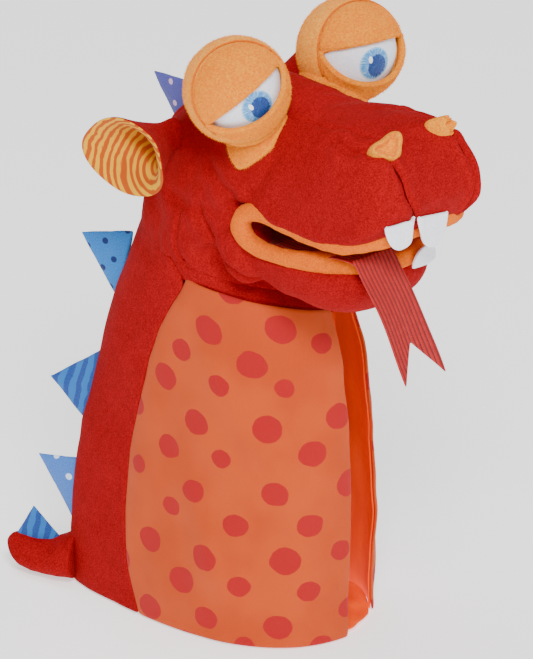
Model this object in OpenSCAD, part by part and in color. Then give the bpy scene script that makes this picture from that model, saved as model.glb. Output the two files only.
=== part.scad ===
// Dragon glove puppet. Millimetres, +Z up. The origin is the middle of the arm opening, on the
// plane that the hem stands on. The sleeve faces -Y, with its spine towards +Y. The head is
// built facing -Y in a frame of its own, and in_head() turns it about the neck's upright axis.

/* [Sleeve] */
// Height of the sleeve, from the hem to the shoulders
sleeve_h = 186; // [180:1:190]
// Depth of the sleeve at the hem, from belly to spine
sleeve_depth = 163; // [158:1:168]
// Width of the sleeve near the hem, at its widest
sleeve_w = 92; // [88:1:98]
// Thickness of the velour with its pile
velour = 2.4; // [2:0.1:2.8]
// Thickness of the printed cotton and of the satin
cotton = 1.4; // [1:0.1:1.6]

/* [Belly] */
// Height of the belly at its sides
belly_h = 183; // [178:1:184]
// Height of the two flaps
flap_h = 174; // [165:1:176]
// Half of the gap between the two belly flaps, as an angle round the sleeve
slit_angle = 15; // [12:1:18]
// Angle round the sleeve at which a flap folds
flap_angle = 58; // [54:1:62]

/* [Head] */
// How far the head is turned to its own right
head_turn = 22; // [0:1:25]
// Reach of the snout in front of the neck's axis
snout_reach = 150; // [146:1:152]
// Height of the crown of the head
crown_h = 297; // [295:1:300]
// Width of the head
head_w = 84; // [82:1:88]
// Height of the nodding axis, in the middle of the neck
nod_z = 206; // [204:1:207]

/* [Mouth] */
// Underside of the upper lip
upper_lip_z = 238; // [238:0.5:240]
// Top of the lower lip
lower_lip_z = 227; // [226:0.5:228]
// Height of either lip
lip_h = 7; // [6:0.5:7]
// Width of the ribbon tongue
tongue_w = 28; // [24:1:28]
// Length of the tongue outside the mouth
tongue_l = 66; // [50:1:70]

/* [Eyes and ears] */
// Radius of an eye over its lids
eye_r = 27; // [25:0.5:27.5]
// Radius of the white ball in the lids
ball_r = 23.5; // [21:0.5:24]
// Distance between the eyes' centres
eye_gap = 80; // [78:1:84]
// Radius of an ear's opening, the long way
ear_r = 24; // [21:1:26]

/* [Spikes and tail] */
// Thickness of a stuffed cotton spike
spike_t = 3.6; // [3:0.2:5]
// Reach of the tail behind the origin
tail_reach = 122; // [118:1:126]

/* [Hidden] */
$fn = 48;

RIGHT = -1;
LEFT = 1;

red = [0.72, 0.10, 0.12];
dark_red = [0.45, 0.06, 0.08];
belly_orange = [0.86, 0.36, 0.20];
satin_orange = [0.92, 0.30, 0.05];
lip_orange = [0.88, 0.45, 0.14];
plush_orange = [0.96, 0.62, 0.28];
blue = [0.16, 0.48, 0.76];
white = [0.95, 0.95, 0.97];
yellow = [0.88, 0.72, 0.26];

clear = 0.4;      // between two sewn pieces that would touch
far = 200;        // side of the blocks that cut a shape in two

// ---- Solids from surfaces -------------------------------------------------------------------
// A surface is a function f(u, v, s): u and v run from 0 to 1, s is 0 outside and 1 inside.

function mix(a, b, t) = a + (b - a) * t;
function ease(t) = (1 - cos(180 * t)) / 2;
function quad(a, b, c, d) = [[a, b, c], [a, c, d]];
function reversed(face) = [for (k = [len(face) - 1:-1:0]) face[k]];

function faces_out(f) =
    let (e = 0.01, p = f(0.5, 0.5, 0), step_u = f(0.5 + e, 0.5, 0) - p, step_v = f(0.5, 0.5 + e, 0) - p)
    (p - f(0.5, 0.5, 1)) * cross(step_u, step_v) > 0;

function surface_points(f, nu, nv, last, s) =
    [for (j = [0:nv]) for (i = [0:last]) f(i / nu, j / nv, s)];

// A panel of cloth with four edges.
module panel(f, nu, nv) {
    row = nu + 1;
    inner = row * (nv + 1);
    points = concat(surface_points(f, nu, nv, nu, 0), surface_points(f, nu, nv, nu, 1));
    cells = [
        for (j = [0:nv - 1]) for (i = [0:nu - 1])
            let (a = j * row + i, b = a + 1, c = b + row, d = a + row)
            each concat(quad(a, d, c, b), quad(inner + a, inner + b, inner + c, inner + d))
    ];
    ends = [
        for (i = [0:nu - 1])
            let (a = i, t = nv * row + i)
            each concat(quad(a, a + 1, inner + a + 1, inner + a),
                        quad(t + 1, t, inner + t, inner + t + 1))
    ];
    sides = [
        for (j = [0:nv - 1])
            let (a = j * row, b = a + nu)
            each concat(quad(a + row, a, inner + a, inner + a + row),
                        quad(b, b + row, inner + b + row, inner + b))
    ];
    all = concat(cells, ends, sides);
    polyhedron(points, faces_out(f) ? all : [for (face = all) reversed(face)]);
}

// A tube of cloth, closed round u and open at both ends of v.
module tube(f, nu, nv) {
    inner = nu * (nv + 1);
    points = concat(surface_points(f, nu, nv, nu - 1, 0), surface_points(f, nu, nv, nu - 1, 1));
    cells = [
        for (j = [0:nv - 1]) for (i = [0:nu - 1])
            let (a = j * nu + i, b = j * nu + (i + 1) % nu, c = b + nu, d = a + nu)
            each concat(quad(a, d, c, b), quad(inner + a, inner + b, inner + c, inner + d))
    ];
    ends = [
        for (i = [0:nu - 1])
            let (a = i, b = (i + 1) % nu, c = nv * nu + i, d = nv * nu + (i + 1) % nu)
            each concat(quad(a, b, inner + b, inner + a), quad(d, c, inner + c, inner + d))
    ];
    all = concat(cells, ends);
    polyhedron(points, faces_out(f) ? all : [for (face = all) reversed(face)]);
}

// A stuffed form, closed round u and capped at both ends of v. Its s = 1 is a point inside it.
module stuffed(f, nu, nv) {
    points = surface_points(f, nu, nv, nu - 1, 0);
    cells = [
        for (j = [0:nv - 1]) for (i = [0:nu - 1])
            let (a = j * nu + i, b = j * nu + (i + 1) % nu, c = b + nu, d = a + nu)
            each quad(a, d, c, b)
    ];
    caps = [[for (i = [0:nu - 1]) i], [for (i = [nu - 1:-1:0]) nv * nu + i]];
    all = concat(cells, caps);
    polyhedron(points, faces_out(f) ? all : [for (face = all) reversed(face)]);
}

// ---- The sleeve -----------------------------------------------------------------------------
// Profiles against height, as shares of the driving sizes.

function sleeve_back(z) = sleeve_depth / 163
    * lookup(z / sleeve_h, [[0, 85], [0.16, 86], [0.48, 79], [0.7, 68], [0.84, 62], [1, 52]]);
function sleeve_front(z) = sleeve_depth / 163
    * lookup(z / sleeve_h, [[0, 78], [0.3, 79], [0.6, 77], [0.8, 73], [1, 63]]);
function sleeve_half(z) = sleeve_w / 92
    * lookup(z / sleeve_h, [[0, 46], [0.2, 47], [0.6, 45], [0.84, 42], [1, 39]]);
// How much fuller the front is than the back.
function fullness(z) = lookup(z / sleeve_h, [[0, 0.55], [0.5, 0.48], [0.84, 0.3], [1, 0.18]]);

// A point of the sleeve: angle 0 is the front, 180 the spine.
function sleeve_point(angle, z, inset) =
    let (
        front = sleeve_front(z) - inset,
        back = sleeve_back(z) - inset,
        half = sleeve_half(z) - inset
    )
    [
        half * sin(angle) * (1 + fullness(z) * cos(angle)),
        (back - front) / 2 - cos(angle) * (back + front) / 2,
        z
    ];

// Where the belly's cotton is sewn to the velour of the back.
function seam_angle(z) = lookup(z / sleeve_h, [
    [0, 112], [0.12, 117], [0.3, 120.5], [0.6, 120], [0.76, 118], [0.86, 114], [0.94, 108], [1, 102]
]);

module sleeve_panel(side, from, to, top, outside, inside, nu, nv) {
    wall = function (u, v, s)
        let (z = v * top, p = sleeve_point(mix(from(z), to(z), u), z, s == 0 ? outside : inside))
        [side * p[0], p[1], p[2]];
    panel(wall, nu, nv);
}

module back_panel(side) {
    edge = function (z) seam_angle(z) + 0.8;
    spine = function (z) 178.6;
    color(red) sleeve_panel(side, edge, spine, sleeve_h, 0, velour, 7, 9);
}

module belly_side(side) {
    fold = function (z) flap_angle + 6;
    edge = function (z) seam_angle(z) - 0.8;
    color(belly_orange) sleeve_panel(side, fold, edge, belly_h, 0, cotton, 6, 8);
}

module belly_flap(side) {
    slit = function (z) slit_angle;
    fold = function (z) flap_angle - 1;
    color(belly_orange) sleeve_panel(side, slit, fold, flap_h, 0, cotton, 5, 8);
}

module flap_facing(side) {
    slit = function (z) slit_angle;
    fold = function (z) flap_angle - 3;
    color(satin_orange)
        sleeve_panel(side, slit, fold, flap_h, cotton + clear, 2 * cotton + clear, 5, 8);
}

hem_h = 12;
hem_t = 2;
hem_inset = velour + 1.2;

// A band inside the hem, open at the front behind the two flaps.
module hem_band() {
    steps = 26;
    start = flap_angle + 8;
    sweep = 360 - 2 * start;
    function at(i, inset) = let (p = sleeve_point(start + sweep * i / steps, 0, inset)) [p[0], p[1]];
    color(dark_red) linear_extrude(hem_h)
        polygon(concat(
            [for (i = [0:steps]) at(i, hem_inset)],
            [for (i = [steps:-1:0]) at(i, hem_inset + hem_t)]
        ));
}

// The inner sleeve for the arm, behind the belly's pouch.
module arm_liner() {
    bottom = 14;
    top = sleeve_h - 4;
    liner = function (u, v, s)
        let (
            t = s == 0 ? 0 : cotton,
            half_x = mix(25, 26, v) - t,
            half_y = mix(30, 24, v) - t,
            middle = mix(27, 20, v)
        )
        [half_x * cos(360 * u), middle + half_y * sin(360 * u), mix(bottom, top, v)];
    color(dark_red) tube(liner, 24, 5);
}

pouch_half = 28;
pouch_front = -50;
pouch_back = -8;
pouch_bottom = 4;
pouch_top = 168;

// Outline of the pouch, from one front edge round the back to the other.
function pouch_outline(inset) =
    let (corner = pouch_half - inset, back = pouch_back - inset, depth = 22)
    concat(
        [[-corner, pouch_front]],
        [for (a = [180:-15:0]) [corner * cos(a), back - depth + depth * sin(a)]],
        [[corner, pouch_front]]
    );

module pouch_lining() {
    color(satin_orange) translate([0, 0, pouch_bottom + 2])
        linear_extrude(pouch_top - pouch_bottom - 2)
            polygon(concat(pouch_outline(0), reversed(pouch_outline(cotton))));
}

// Its front runs on between the two flaps.
module pouch_floor() {
    apron = [[13, pouch_front], [12, -68], [7, -72.5], [-7, -72.5], [-12, -68], [-13, pouch_front]];
    color(satin_orange) translate([0, 0, pouch_bottom])
        linear_extrude(cotton) polygon(concat(pouch_outline(cotton), apron));
}

// A flat stuffed triangle in the plane of the spine, from outline points [y, z].
module spike(outline) {
    color(blue) translate([-spike_t / 2, 0, 0]) rotate([90, 0, 90])
        linear_extrude(spike_t) polygon(outline);
}

module spine_spike(low, high, tip) {
    stand = 0.7;
    spike([
        [sleeve_back(low) + stand, low],
        tip,
        [sleeve_back(high) + stand, high],
        [sleeve_back((low + high) / 2) + stand, (low + high) / 2]
    ]);
}

// ---- The tail -------------------------------------------------------------------------------

tail_root = 89;

function tail_top(v) = lookup(v, [[0, 17], [0.7, 17], [0.92, 17], [1, 15.5]]);
function tail_low(v) = lookup(v, [[0, 0], [0.55, 0], [0.75, 2.5], [0.9, 6], [1, 9.5]]);
function tail_half(v) = lookup(v, [[0, 12], [0.35, 12], [0.7, 9.5], [0.92, 6], [1, 3.5]]);

module tail_cover() {
    skin = function (u, v, s)
        let (
            low = tail_low(v),
            middle = (low + tail_top(v)) / 2,
            half_z = s == 0 ? (tail_top(v) - low) / 2 : 0,
            half_x = s == 0 ? tail_half(v) : 0
        )
        [half_x * cos(360 * u), mix(tail_root, tail_reach, v), middle + half_z * sin(360 * u)];
    color(red) stuffed(skin, 16, 8);
}

module tail_spike() {
    reach = tail_reach - tail_root;
    spike([
        [tail_root + 0.06 * reach, 17.6],
        [tail_root + 0.82 * reach, 17.6],
        [tail_root + 0.56 * reach, 34]
    ]);
}

// ---- The neck -------------------------------------------------------------------------------
// The neck is a ball at the back, so that the head nods over it, and upright at the front.

neck_r = 41;
neck_half = 34;
neck_front = 44;
neck_bottom = 188;

module in_head() {
    rotate([0, 0, -head_turn]) children();
}

module neck_tube() {
    skin = function (u, v, s)
        let (
            a = 360 * u,
            t = s == 0 ? 0 : velour,
            top = mix(212, 224, (1 + sin(a)) / 2),
            z = mix(neck_bottom, top, v),
            rise = z - nod_z,
            ball = sqrt((neck_r - t) * (neck_r - t) - rise * rise),
            half_y = sin(a) > 0 ? ball : neck_front - t
        )
        [(neck_half - t) * cos(a), half_y * sin(a), z];
    color(red) in_head() tube(skin, 24, 6);
}

module throat_tube() {
    throat_y = -19.5;
    skin = function (u, v, s)
        let (t = s == 0 ? 0 : cotton)
        [(22.5 - t) * cos(360 * u), throat_y + (18 - t) * sin(360 * u), mix(neck_bottom, 218, v)];
    color(dark_red) in_head() tube(skin, 20, 3);
}

// ---- The head -------------------------------------------------------------------------------
// The head is a vault: cross-sections along y, from the nose (share 0) to the nape (share 1).

nape = 45;
snout = -150;

function crown(y) = crown_h - 297 + lookup(y, [
    [-150, 262], [-148, 270], [-144, 280], [-138, 288], [-128, 295], [-110, 297], [-95, 296],
    [-80, 294], [-50, 297], [-25, 298], [0, 288], [25, 265], [38, 243], [45, 225]
]);
function head_half(y) = head_w / 84 * lookup(y, [
    [-150, 20], [-148, 31], [-144, 38], [-136, 41.5], [-122, 43], [-50, 42], [-25, 41.5],
    [0, 40], [25, 33], [38, 22], [45, 8]
]);
// The lower edge: over the lip in front, and down the cheeks to the nape behind.
function head_rim(y) = lookup(y, [
    [-150, 252], [-148, 249.5], [-144, 247], [-136, 245.7], [-44, 245.5], [-37, 233],
    [-27, 214], [-14, 204], [0, 200], [25, 200], [40, 203], [45, 212]
]);
// The power that squares off a section: 1 is round, and less is boxier.
function boxiness(y) = lookup(y, [[-150, 0.6], [-125, 0.68], [-95, 0.85], [-65, 1], [-15, 1], [25, 0.85]]);

// A point of the head: angle 0 is its left rim, 90 the crown and 180 its right rim.
function head_point(angle, y, inset) =
    let (
        half = head_half(y) - inset,
        rise = crown(y) - inset - head_rim(y),
        power = boxiness(y)
    )
    [
        half * sign(cos(angle)) * pow(abs(cos(angle)), power),
        y * (1 - inset / 150) * (y < 0 ? -snout_reach / snout : 1),
        head_rim(y) + rise * pow(sin(angle), power)
    ];

top_from = 58;
top_to = 122;

module head_panel(from, to, nu) {
    skin = function (u, v, s)
        head_point(mix(from, to, u), mix(snout, nape, mix(v, ease(v), 0.7)), s == 0 ? 0 : velour);
    color(red) in_head() panel(skin, nu, 15);
}

module snout_stuffing() {
    back_end = -56;
    floor_z = 266;
    filling = function (u, v, s)
        let (
            y = mix(-132, back_end, v),
            half = s == 0 ? head_half(y) - velour - 12 : 0,
            top = crown(y) - velour - 7,
            middle = (top + floor_z) / 2
        )
        [half * cos(360 * u), y, middle + (s == 0 ? (top - floor_z) / 2 * sin(360 * u) : 0)];
    color(white) in_head() stuffed(filling, 16, 5);
}

// A flat pocket with round edges, open towards +Y.
module pocket(width, height, length, wall) {
    module slot(w, h, l) {
        rotate([-90, 0, 0]) linear_extrude(l) union() {
            square([w - h, h], center = true);
            for (x = [-1, 1]) translate([x * (w - h) / 2, 0]) circle(d = h);
        }
    }
    difference() {
        slot(width, height, length);
        translate([0, wall, 0]) slot(width - 2 * wall, height - 2 * wall, length);
    }
}

module finger_pocket() {
    color(dark_red) in_head() translate([0, -118, 256]) pocket(58, 16, 86, cotton);
}

// Outline of a lip: straight sides from y = back to y = bend, and a blunt round front.
function lip_outline(half, back, bend, front, inset) =
    let (reach = bend - front - inset)
    concat(
        [[-half + inset, back]],
        [
            for (a = [180:-10:0])
                [
                    (half - inset) * sign(cos(a)) * pow(abs(cos(a)), 0.8),
                    bend - reach * pow(sin(a), 0.8)
                ]
        ],
        [[half - inset, back]]
    );

lip_t = 6;
upper_front = -141;
lower_front = -124;

function upper_outline(inset) = lip_outline(41, -58, -100, upper_front, inset);
function lower_outline(inset) = lip_outline(37, -52, -90, lower_front, inset);

module upper_lip() {
    color(lip_orange) in_head() translate([0, 0, upper_lip_z])
        linear_extrude(lip_h) polygon(concat(upper_outline(0), reversed(upper_outline(lip_t))));
}

module palate() {
    color(dark_red) in_head() translate([0, 0, upper_lip_z + 3])
        linear_extrude(2.4) polygon(upper_outline(lip_t + clear));
}

// A felt tooth: half an oval, flat along the edge that is sewn on.
module tooth(half, drop) {
    thick = 1.6;
    rotate([90, 0, 0]) linear_extrude(thick)
        polygon([for (a = [0:15:180]) [half * cos(a), -drop * pow(sin(a), 0.8)]]);
}

module upper_teeth() {
    color(white) in_head() for (side = [RIGHT, LEFT])
        translate([side * 12.9, upper_front - 0.2, 249.5]) rotate([0, 0, side * 12])
            tooth(12.2, 16);
}

module nostril(side) {
    color(plush_orange) in_head() translate([side * 22, -132, 297.6]) rotate([22, side * 12, 0])
        rotate_extrude() translate([5.5, 0]) circle(r = 2.6);
}

module crest_spike(y0, y1, tip) {
    spike([
        [y0 + 1, crown(y0) + 1.6],
        [(y0 + y1) / 2 + 1.4, crown((y0 + y1) / 2) + 1.8],
        [y1 + 1.6, crown(y1) + 1],
        tip
    ]);
}

// ---- The eyes -------------------------------------------------------------------------------
// Each eye looks along -y in its own frame, with its lids' corners on the x axis.

eye_y = -49;
eye_z = 304;
eye_lean = 33;      // the eyes stand off the head at this angle from upright
eye_cut = 20;       // the flat under the eye is this far from its centre
lid_corner = 10;    // the lids meet the back of the eye this far in front of its centre

// Both eyes look to the puppet's right. The right eye's lids droop, the left eye is wider open.
function eye_yaw(side) = side == RIGHT ? -32 : -12;
function lid_droop(side) = side == RIGHT ? -36 : 0;
function lid_open(side) = side == RIGHT ? 50 : 62;
function lid_lift(side) = side == RIGHT ? -1 : 4;
function iris_drop(side) = side == RIGHT ? 24 : 17;

module at_eye(side) {
    in_head() translate([side * eye_gap / 2, eye_y, eye_z]) children();
}

// The frame of the lids: y runs back from where the eye looks, x from corner to corner.
module gaze(side) {
    rotate([0, 0, eye_yaw(side)]) rotate([-16, 0, 0]) rotate([0, lid_droop(side), 0]) children();
}

// Keeps what is above the flat that the eye is sewn on by.
module above_base(side, cut) {
    intersection() {
        children();
        rotate([0, side * eye_lean, 0]) translate([-far / 2, -far / 2, -cut]) cube(far);
    }
}

module lid_shell() {
    difference() {
        sphere(eye_r);
        sphere(ball_r + 0.5);
    }
}

module eye_ball(side) {
    color(white) at_eye(side) above_base(side, eye_cut) sphere(ball_r);
}

module iris(side) {
    color(blue) at_eye(side) gaze(side) intersection() {
        difference() {
            sphere(ball_r + 0.4);
            sphere(ball_r + 0.1);
        }
        rotate([90 + iris_drop(side), 0, 0]) cylinder(r = 8, h = far);
    }
}

module eyelid_upper(side) {
    color(plush_orange) at_eye(side) above_base(side, eye_cut) gaze(side) intersection() {
        lid_shell();
        translate([-far / 2, -lid_corner - far, lid_lift(side) + 0.2]) cube(far);
    }
}

module eyelid_lower(side) {
    color(plush_orange) at_eye(side) above_base(side, eye_cut) gaze(side) intersection() {
        lid_shell();
        translate([0, -lid_corner, lid_lift(side)]) rotate([lid_open(side), 0, 0])
            translate([-far / 2, -far / 2, -far]) cube(far);
        translate([-far / 2, -lid_corner - far, lid_lift(side) - far]) cube(far);
    }
}

module eye_back(side) {
    color(plush_orange) at_eye(side) above_base(side, eye_cut) gaze(side) intersection() {
        lid_shell();
        translate([-far / 2, clear - lid_corner, -far / 2]) cube(far);
    }
}

// The plush collar between the eye and the head, with a pointed flap down the cheek.
module eye_base(side) {
    color(plush_orange) at_eye(side) {
        rotate([0, side * eye_lean, 0]) translate([0, 0, -eye_cut - 1.9])
            cylinder(r1 = 14.5, r2 = 14.5, h = 1.6);
        hull() {
            for (y = [-9, 9], p = [[-0.8, -24.75], [2.6, -26.96]])
                translate([side * p[0], y, p[1]]) sphere(r = 0.75, $fn = 12);
            translate([side * 3.4, -2, -40]) sphere(r = 0.75, $fn = 12);
        }
    }
}

// ---- The ears -------------------------------------------------------------------------------
// An ear is a cup from a small sewn base to an oval rim, whose plane leans down and forwards.

ear_base_at = [33.5, 7, 262];
ear_rim_at = [65, 6, 260];
ear_long = [-0.326, -0.692, -0.639];
ear_short = [0.17, 0.63, -0.757];
ear_base_long = [0, -0.735, -0.678];

module ear_cup(side, inset, wall, start) {
    skin = function (u, v, s)
        let (
            a = 360 * u,
            w = mix(start, 1, v),
            swell = sin(90 * pow(w, 0.8)),
            t = inset + (s == 0 ? 0 : wall),
            long = mix(8, ear_r, swell) - t,
            short = mix(5, 0.84 * ear_r, swell) - t,
            p = mix(ear_base_at, ear_rim_at, w)
                + long * cos(a) * mix(ear_base_long, ear_long, w) + short * sin(a) * ear_short
        )
        [side * p[0], p[1], p[2]];
    in_head() tube(skin, 22, 5);
}

module ear_outer(side) {
    color(red) ear_cup(side, 0, 1.6, 0);
}

module ear_lining(side) {
    color(yellow) ear_cup(side, 2.6, 1, 0.2);
}

// ---- The lower jaw --------------------------------------------------------------------------

jaw_rim = lower_lip_z - lip_h - 0.5;

function jaw_depth(y) = lookup(y, [
    [-124, 4], [-122, 12], [-115, 21], [-102, 29], [-84, 30.5], [-70, 25], [-52, 8]
]);
function jaw_half(y) = lookup(y, [
    [-124, 8], [-122, 17], [-115, 28], [-100, 34.5], [-80, 37], [-64, 37], [-52, 36]
]);

module jaw_shell() {
    skin = function (u, v, s)
        let (
            y = mix(lower_front, -52, mix(v, ease(v), 0.6)),
            t = s == 0 ? 0 : velour,
            a = 180 * u,
            across = sign(cos(a)) * pow(abs(cos(a)), 0.75)
        )
        [
            (jaw_half(y) - t) * across,
            y + t * (lookup(y, [[lower_front, 1], [-110, 0]])),
            jaw_rim - (jaw_depth(y) - min(t, jaw_depth(y) * 0.6)) * pow(sin(a), 0.7)
        ];
    color(red) in_head() panel(skin, 12, 10);
}

module lower_lip() {
    color(lip_orange) in_head() translate([0, 0, lower_lip_z - lip_h])
        linear_extrude(lip_h) polygon(concat(lower_outline(0), reversed(lower_outline(lip_t))));
}

module mouth_floor() {
    color(dark_red) in_head() translate([0, 0, lower_lip_z - lip_h])
        linear_extrude(2.2) polygon(lower_outline(lip_t + clear));
}

module thumb_pocket() {
    color(dark_red) in_head() translate([0, -102, 209]) pocket(30, 11, 36, cotton);
}

// They stand on the lip's lower seam. The right one is low, because the tongue lies over it.
module lower_teeth() {
    color(white) in_head() for (side = [RIGHT, LEFT])
        translate([side * 17, lower_front + 1.4, lower_lip_z - 8]) rotate([0, 0, side * 20])
            mirror([0, 0, 1]) tooth(10, side == RIGHT ? 5.5 : 14);
}

tongue_x = -15.5;
ribbon_t = 1.2;
tongue_at = [tongue_x, lower_front - 4.2, lower_lip_z + 1.1];
tongue_fall = 57;     // how far below level the tongue hangs

// The end of the ribbon that is sewn in the mouth and comes out over the lower lip.
module tongue_root() {
    floor_z = lower_lip_z - lip_h + 2.4;
    lip_z = lower_lip_z + 0.5;
    run = [[-66, floor_z], [-89, floor_z], [-97, lip_z], [tongue_at[1] + 1, lip_z]];
    color(red) in_head() translate([tongue_x - tongue_w / 2, 0, 0]) rotate([90, 0, 90])
        linear_extrude(tongue_w)
            polygon(concat(run, reversed([for (p = run) p + [0, ribbon_t]])));
}

module tongue() {
    fork = 0.32 * tongue_l;
    start = 2;
    half = tongue_w / 2;
    color(red) in_head() translate(tongue_at) rotate([tongue_fall, 0, 0])
        translate([0, 0, -ribbon_t / 2]) linear_extrude(ribbon_t)
            polygon([
                [-half, -start], [-half, -tongue_l], [0, fork - tongue_l], [half, -tongue_l],
                [half, -start]
            ]);
}

// ---- Nodes ----------------------------------------------------------------------------------

back_panel(RIGHT);  // back_panel_right
back_panel(LEFT);  // back_panel_left
belly_side(RIGHT);  // belly_side_right
belly_side(LEFT);  // belly_side_left
hem_band();
arm_liner();
pouch_lining();
pouch_floor();
spine_spike(156, 197, [79, 191]);  // spine_spike_upper
spine_spike(86, 131, [97, 109]);  // spine_spike_middle
spine_spike(28, 67, [104, 65]);  // spine_spike_lower
belly_flap(RIGHT);  // belly_flap_right
flap_facing(RIGHT);  // flap_facing_right
belly_flap(LEFT);  // belly_flap_left
flap_facing(LEFT);  // flap_facing_left
tail_cover();
tail_spike();
neck_tube();
throat_tube();
head_panel(top_to + 0.4, 180, 6);  // head_side_right
head_panel(0, top_from - 0.4, 6);  // head_side_left
head_panel(top_from + 0.4, top_to - 0.4, 6);  // head_top_panel
snout_stuffing();
finger_pocket();
upper_lip();
palate();
upper_teeth();
nostril(RIGHT);  // nostril_right
nostril(LEFT);  // nostril_left
in_head() crest_spike(6, 33, [50, 277]);  // crest_spike_front
in_head() crest_spike(34, 44, [62, 246]);  // crest_spike_rear
eye_base(RIGHT);  // eye_base_right
eye_ball(RIGHT);  // eye_ball_right
iris(RIGHT);  // iris_right
eyelid_upper(RIGHT);  // eyelid_upper_right
eyelid_lower(RIGHT);  // eyelid_lower_right
eye_back(RIGHT);  // eye_back_right
eye_base(LEFT);  // eye_base_left
eye_ball(LEFT);  // eye_ball_left
iris(LEFT);  // iris_left
eyelid_upper(LEFT);  // eyelid_upper_left
eyelid_lower(LEFT);  // eyelid_lower_left
eye_back(LEFT);  // eye_back_left
ear_outer(RIGHT);  // ear_outer_right
ear_lining(RIGHT);  // ear_lining_right
ear_outer(LEFT);  // ear_outer_left
ear_lining(LEFT);  // ear_lining_left
jaw_shell();
lower_lip();
mouth_floor();
thumb_pocket();
lower_teeth();
tongue_root();
tongue();
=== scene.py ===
"""Dragon glove puppet: the soft pieces, materials, floor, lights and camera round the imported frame."""
import math

import bmesh
import bpy
import numpy as np
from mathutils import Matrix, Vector, noise
from mathutils.bvhtree import BVHTree


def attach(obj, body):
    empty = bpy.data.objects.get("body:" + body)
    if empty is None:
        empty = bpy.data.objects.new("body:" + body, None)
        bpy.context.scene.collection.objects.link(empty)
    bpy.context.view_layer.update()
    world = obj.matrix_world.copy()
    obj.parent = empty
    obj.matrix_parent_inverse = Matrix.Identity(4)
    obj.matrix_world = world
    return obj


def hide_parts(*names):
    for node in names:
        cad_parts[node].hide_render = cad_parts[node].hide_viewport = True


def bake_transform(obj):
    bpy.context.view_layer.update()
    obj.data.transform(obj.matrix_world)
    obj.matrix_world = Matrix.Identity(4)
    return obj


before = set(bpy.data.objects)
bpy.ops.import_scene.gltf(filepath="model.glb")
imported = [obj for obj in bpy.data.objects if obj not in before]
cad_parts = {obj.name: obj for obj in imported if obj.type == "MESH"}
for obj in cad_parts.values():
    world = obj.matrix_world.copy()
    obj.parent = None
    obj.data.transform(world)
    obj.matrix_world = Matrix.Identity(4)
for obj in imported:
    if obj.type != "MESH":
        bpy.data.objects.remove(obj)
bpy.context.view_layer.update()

MM = 0.001
TURN = math.radians(22)          # the head's turn to its own right
WORD = {-1: "right", 1: "left"}    # the puppet's own right is at -x

# ---- Camera ---------------------------------------------------------------------------------
CAMERA_AZIMUTH, CAMERA_ELEVATION = math.radians(-67), math.radians(22)
CAMERA_DISTANCE, CAMERA_LENS = 6.0, 646
CAMERA_TARGET = Vector((0.0049, -0.0208, 0.1512))


def place(name, data, location=(0, 0, 0), way=None):
    """Puts an object with this data in the scene, facing way."""
    obj = bpy.data.objects.new(name, data)
    obj.location = location
    if way is not None:
        obj.rotation_mode = "QUATERNION"
        obj.rotation_quaternion = way.to_track_quat("-Z", "Y")
    bpy.context.scene.collection.objects.link(obj)
    return obj


def add_camera():
    data = bpy.data.cameras.new("camera")
    data.lens, data.sensor_width, data.clip_end = CAMERA_LENS, 36, 20
    a, e = CAMERA_AZIMUTH, CAMERA_ELEVATION
    back = Vector((math.sin(a) * math.cos(e), -math.cos(a) * math.cos(e), math.sin(e)))
    bpy.context.scene.camera = place("camera", data, CAMERA_TARGET + back * CAMERA_DISTANCE, -back)


add_camera()


# ---- Numbers and points ---------------------------------------------------------------------
def table(*pairs):
    xs = [p[0] for p in pairs]
    ys = [p[1] for p in pairs]
    return lambda x: np.interp(x, xs, ys)


def smoothstep(a, b, x):
    t = np.clip((np.asarray(x, float) - a) / (b - a), 0, 1)
    return t * t * (3 - 2 * t)


def unit(v):
    v = np.asarray(v, float)
    return v / np.linalg.norm(v, axis=-1, keepdims=True)


def to_row(p, turn=TURN):
    """Points of the head's own frame in the row's frame."""
    p = np.asarray(p, float)
    c, s = np.cos(turn), np.sin(turn)
    return np.stack([p[..., 0] * c + p[..., 1] * s, p[..., 1] * c - p[..., 0] * s, p[..., 2]], -1)


def to_head(p):
    return to_row(p, -TURN)


def circle(count):
    return np.linspace(0, 2 * np.pi, count, endpoint=False)


def signed(x, power):
    """A power that keeps the sign: below 1 it squares off a circle's sine or cosine."""
    return np.sign(x) * np.abs(x) ** power


def bell(x, middle, width):
    return np.exp(-(((x - middle) / width) ** 2))


def sheet_grid(rows, cols, low=-1):
    """Shares up, from 0 to 1, and across, from low to 1, of a flat sheet."""
    return np.meshgrid(np.linspace(0, 1, rows), np.linspace(low, 1, cols), indexing="ij")


def tube_grid(rows, cols, low=0):
    """Shares along, from low to 1, and angles round a tube."""
    return np.meshgrid(np.linspace(low, 1, rows), circle(cols), indexing="ij")


def fractal(points, size, seed, octaves=3):
    """Soft noise from about -1 to 1, with bumps of about size mm."""
    shift = Vector((seed * 17.3, seed * 5.1, seed * 11.7))
    flat = np.asarray(points, float).reshape(-1, 3) / size
    out = np.array([noise.fractal(Vector(p) + shift, 1.0, 2.0, octaves) for p in flat])
    return out.reshape(np.asarray(points).shape[:-1])


# ---- Meshes ---------------------------------------------------------------------------------
def make(name, points, faces, materials, zones=None, cloth=None):
    mesh = bpy.data.meshes.new(name)
    mesh.from_pydata((np.asarray(points) * MM).tolist(), [], [list(map(int, f)) for f in faces])
    for m in materials:
        mesh.materials.append(m)
    if zones is not None:
        mesh.polygons.foreach_set("material_index", np.asarray(zones, dtype=np.int32))
    if cloth is not None:
        layer = mesh.attributes.new("cloth", "FLOAT_VECTOR", "POINT")
        layer.data.foreach_set("vector", np.asarray(cloth, dtype=np.float32).ravel())
    mesh.shade_smooth()
    mesh.update()
    return place(name, mesh)


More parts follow.
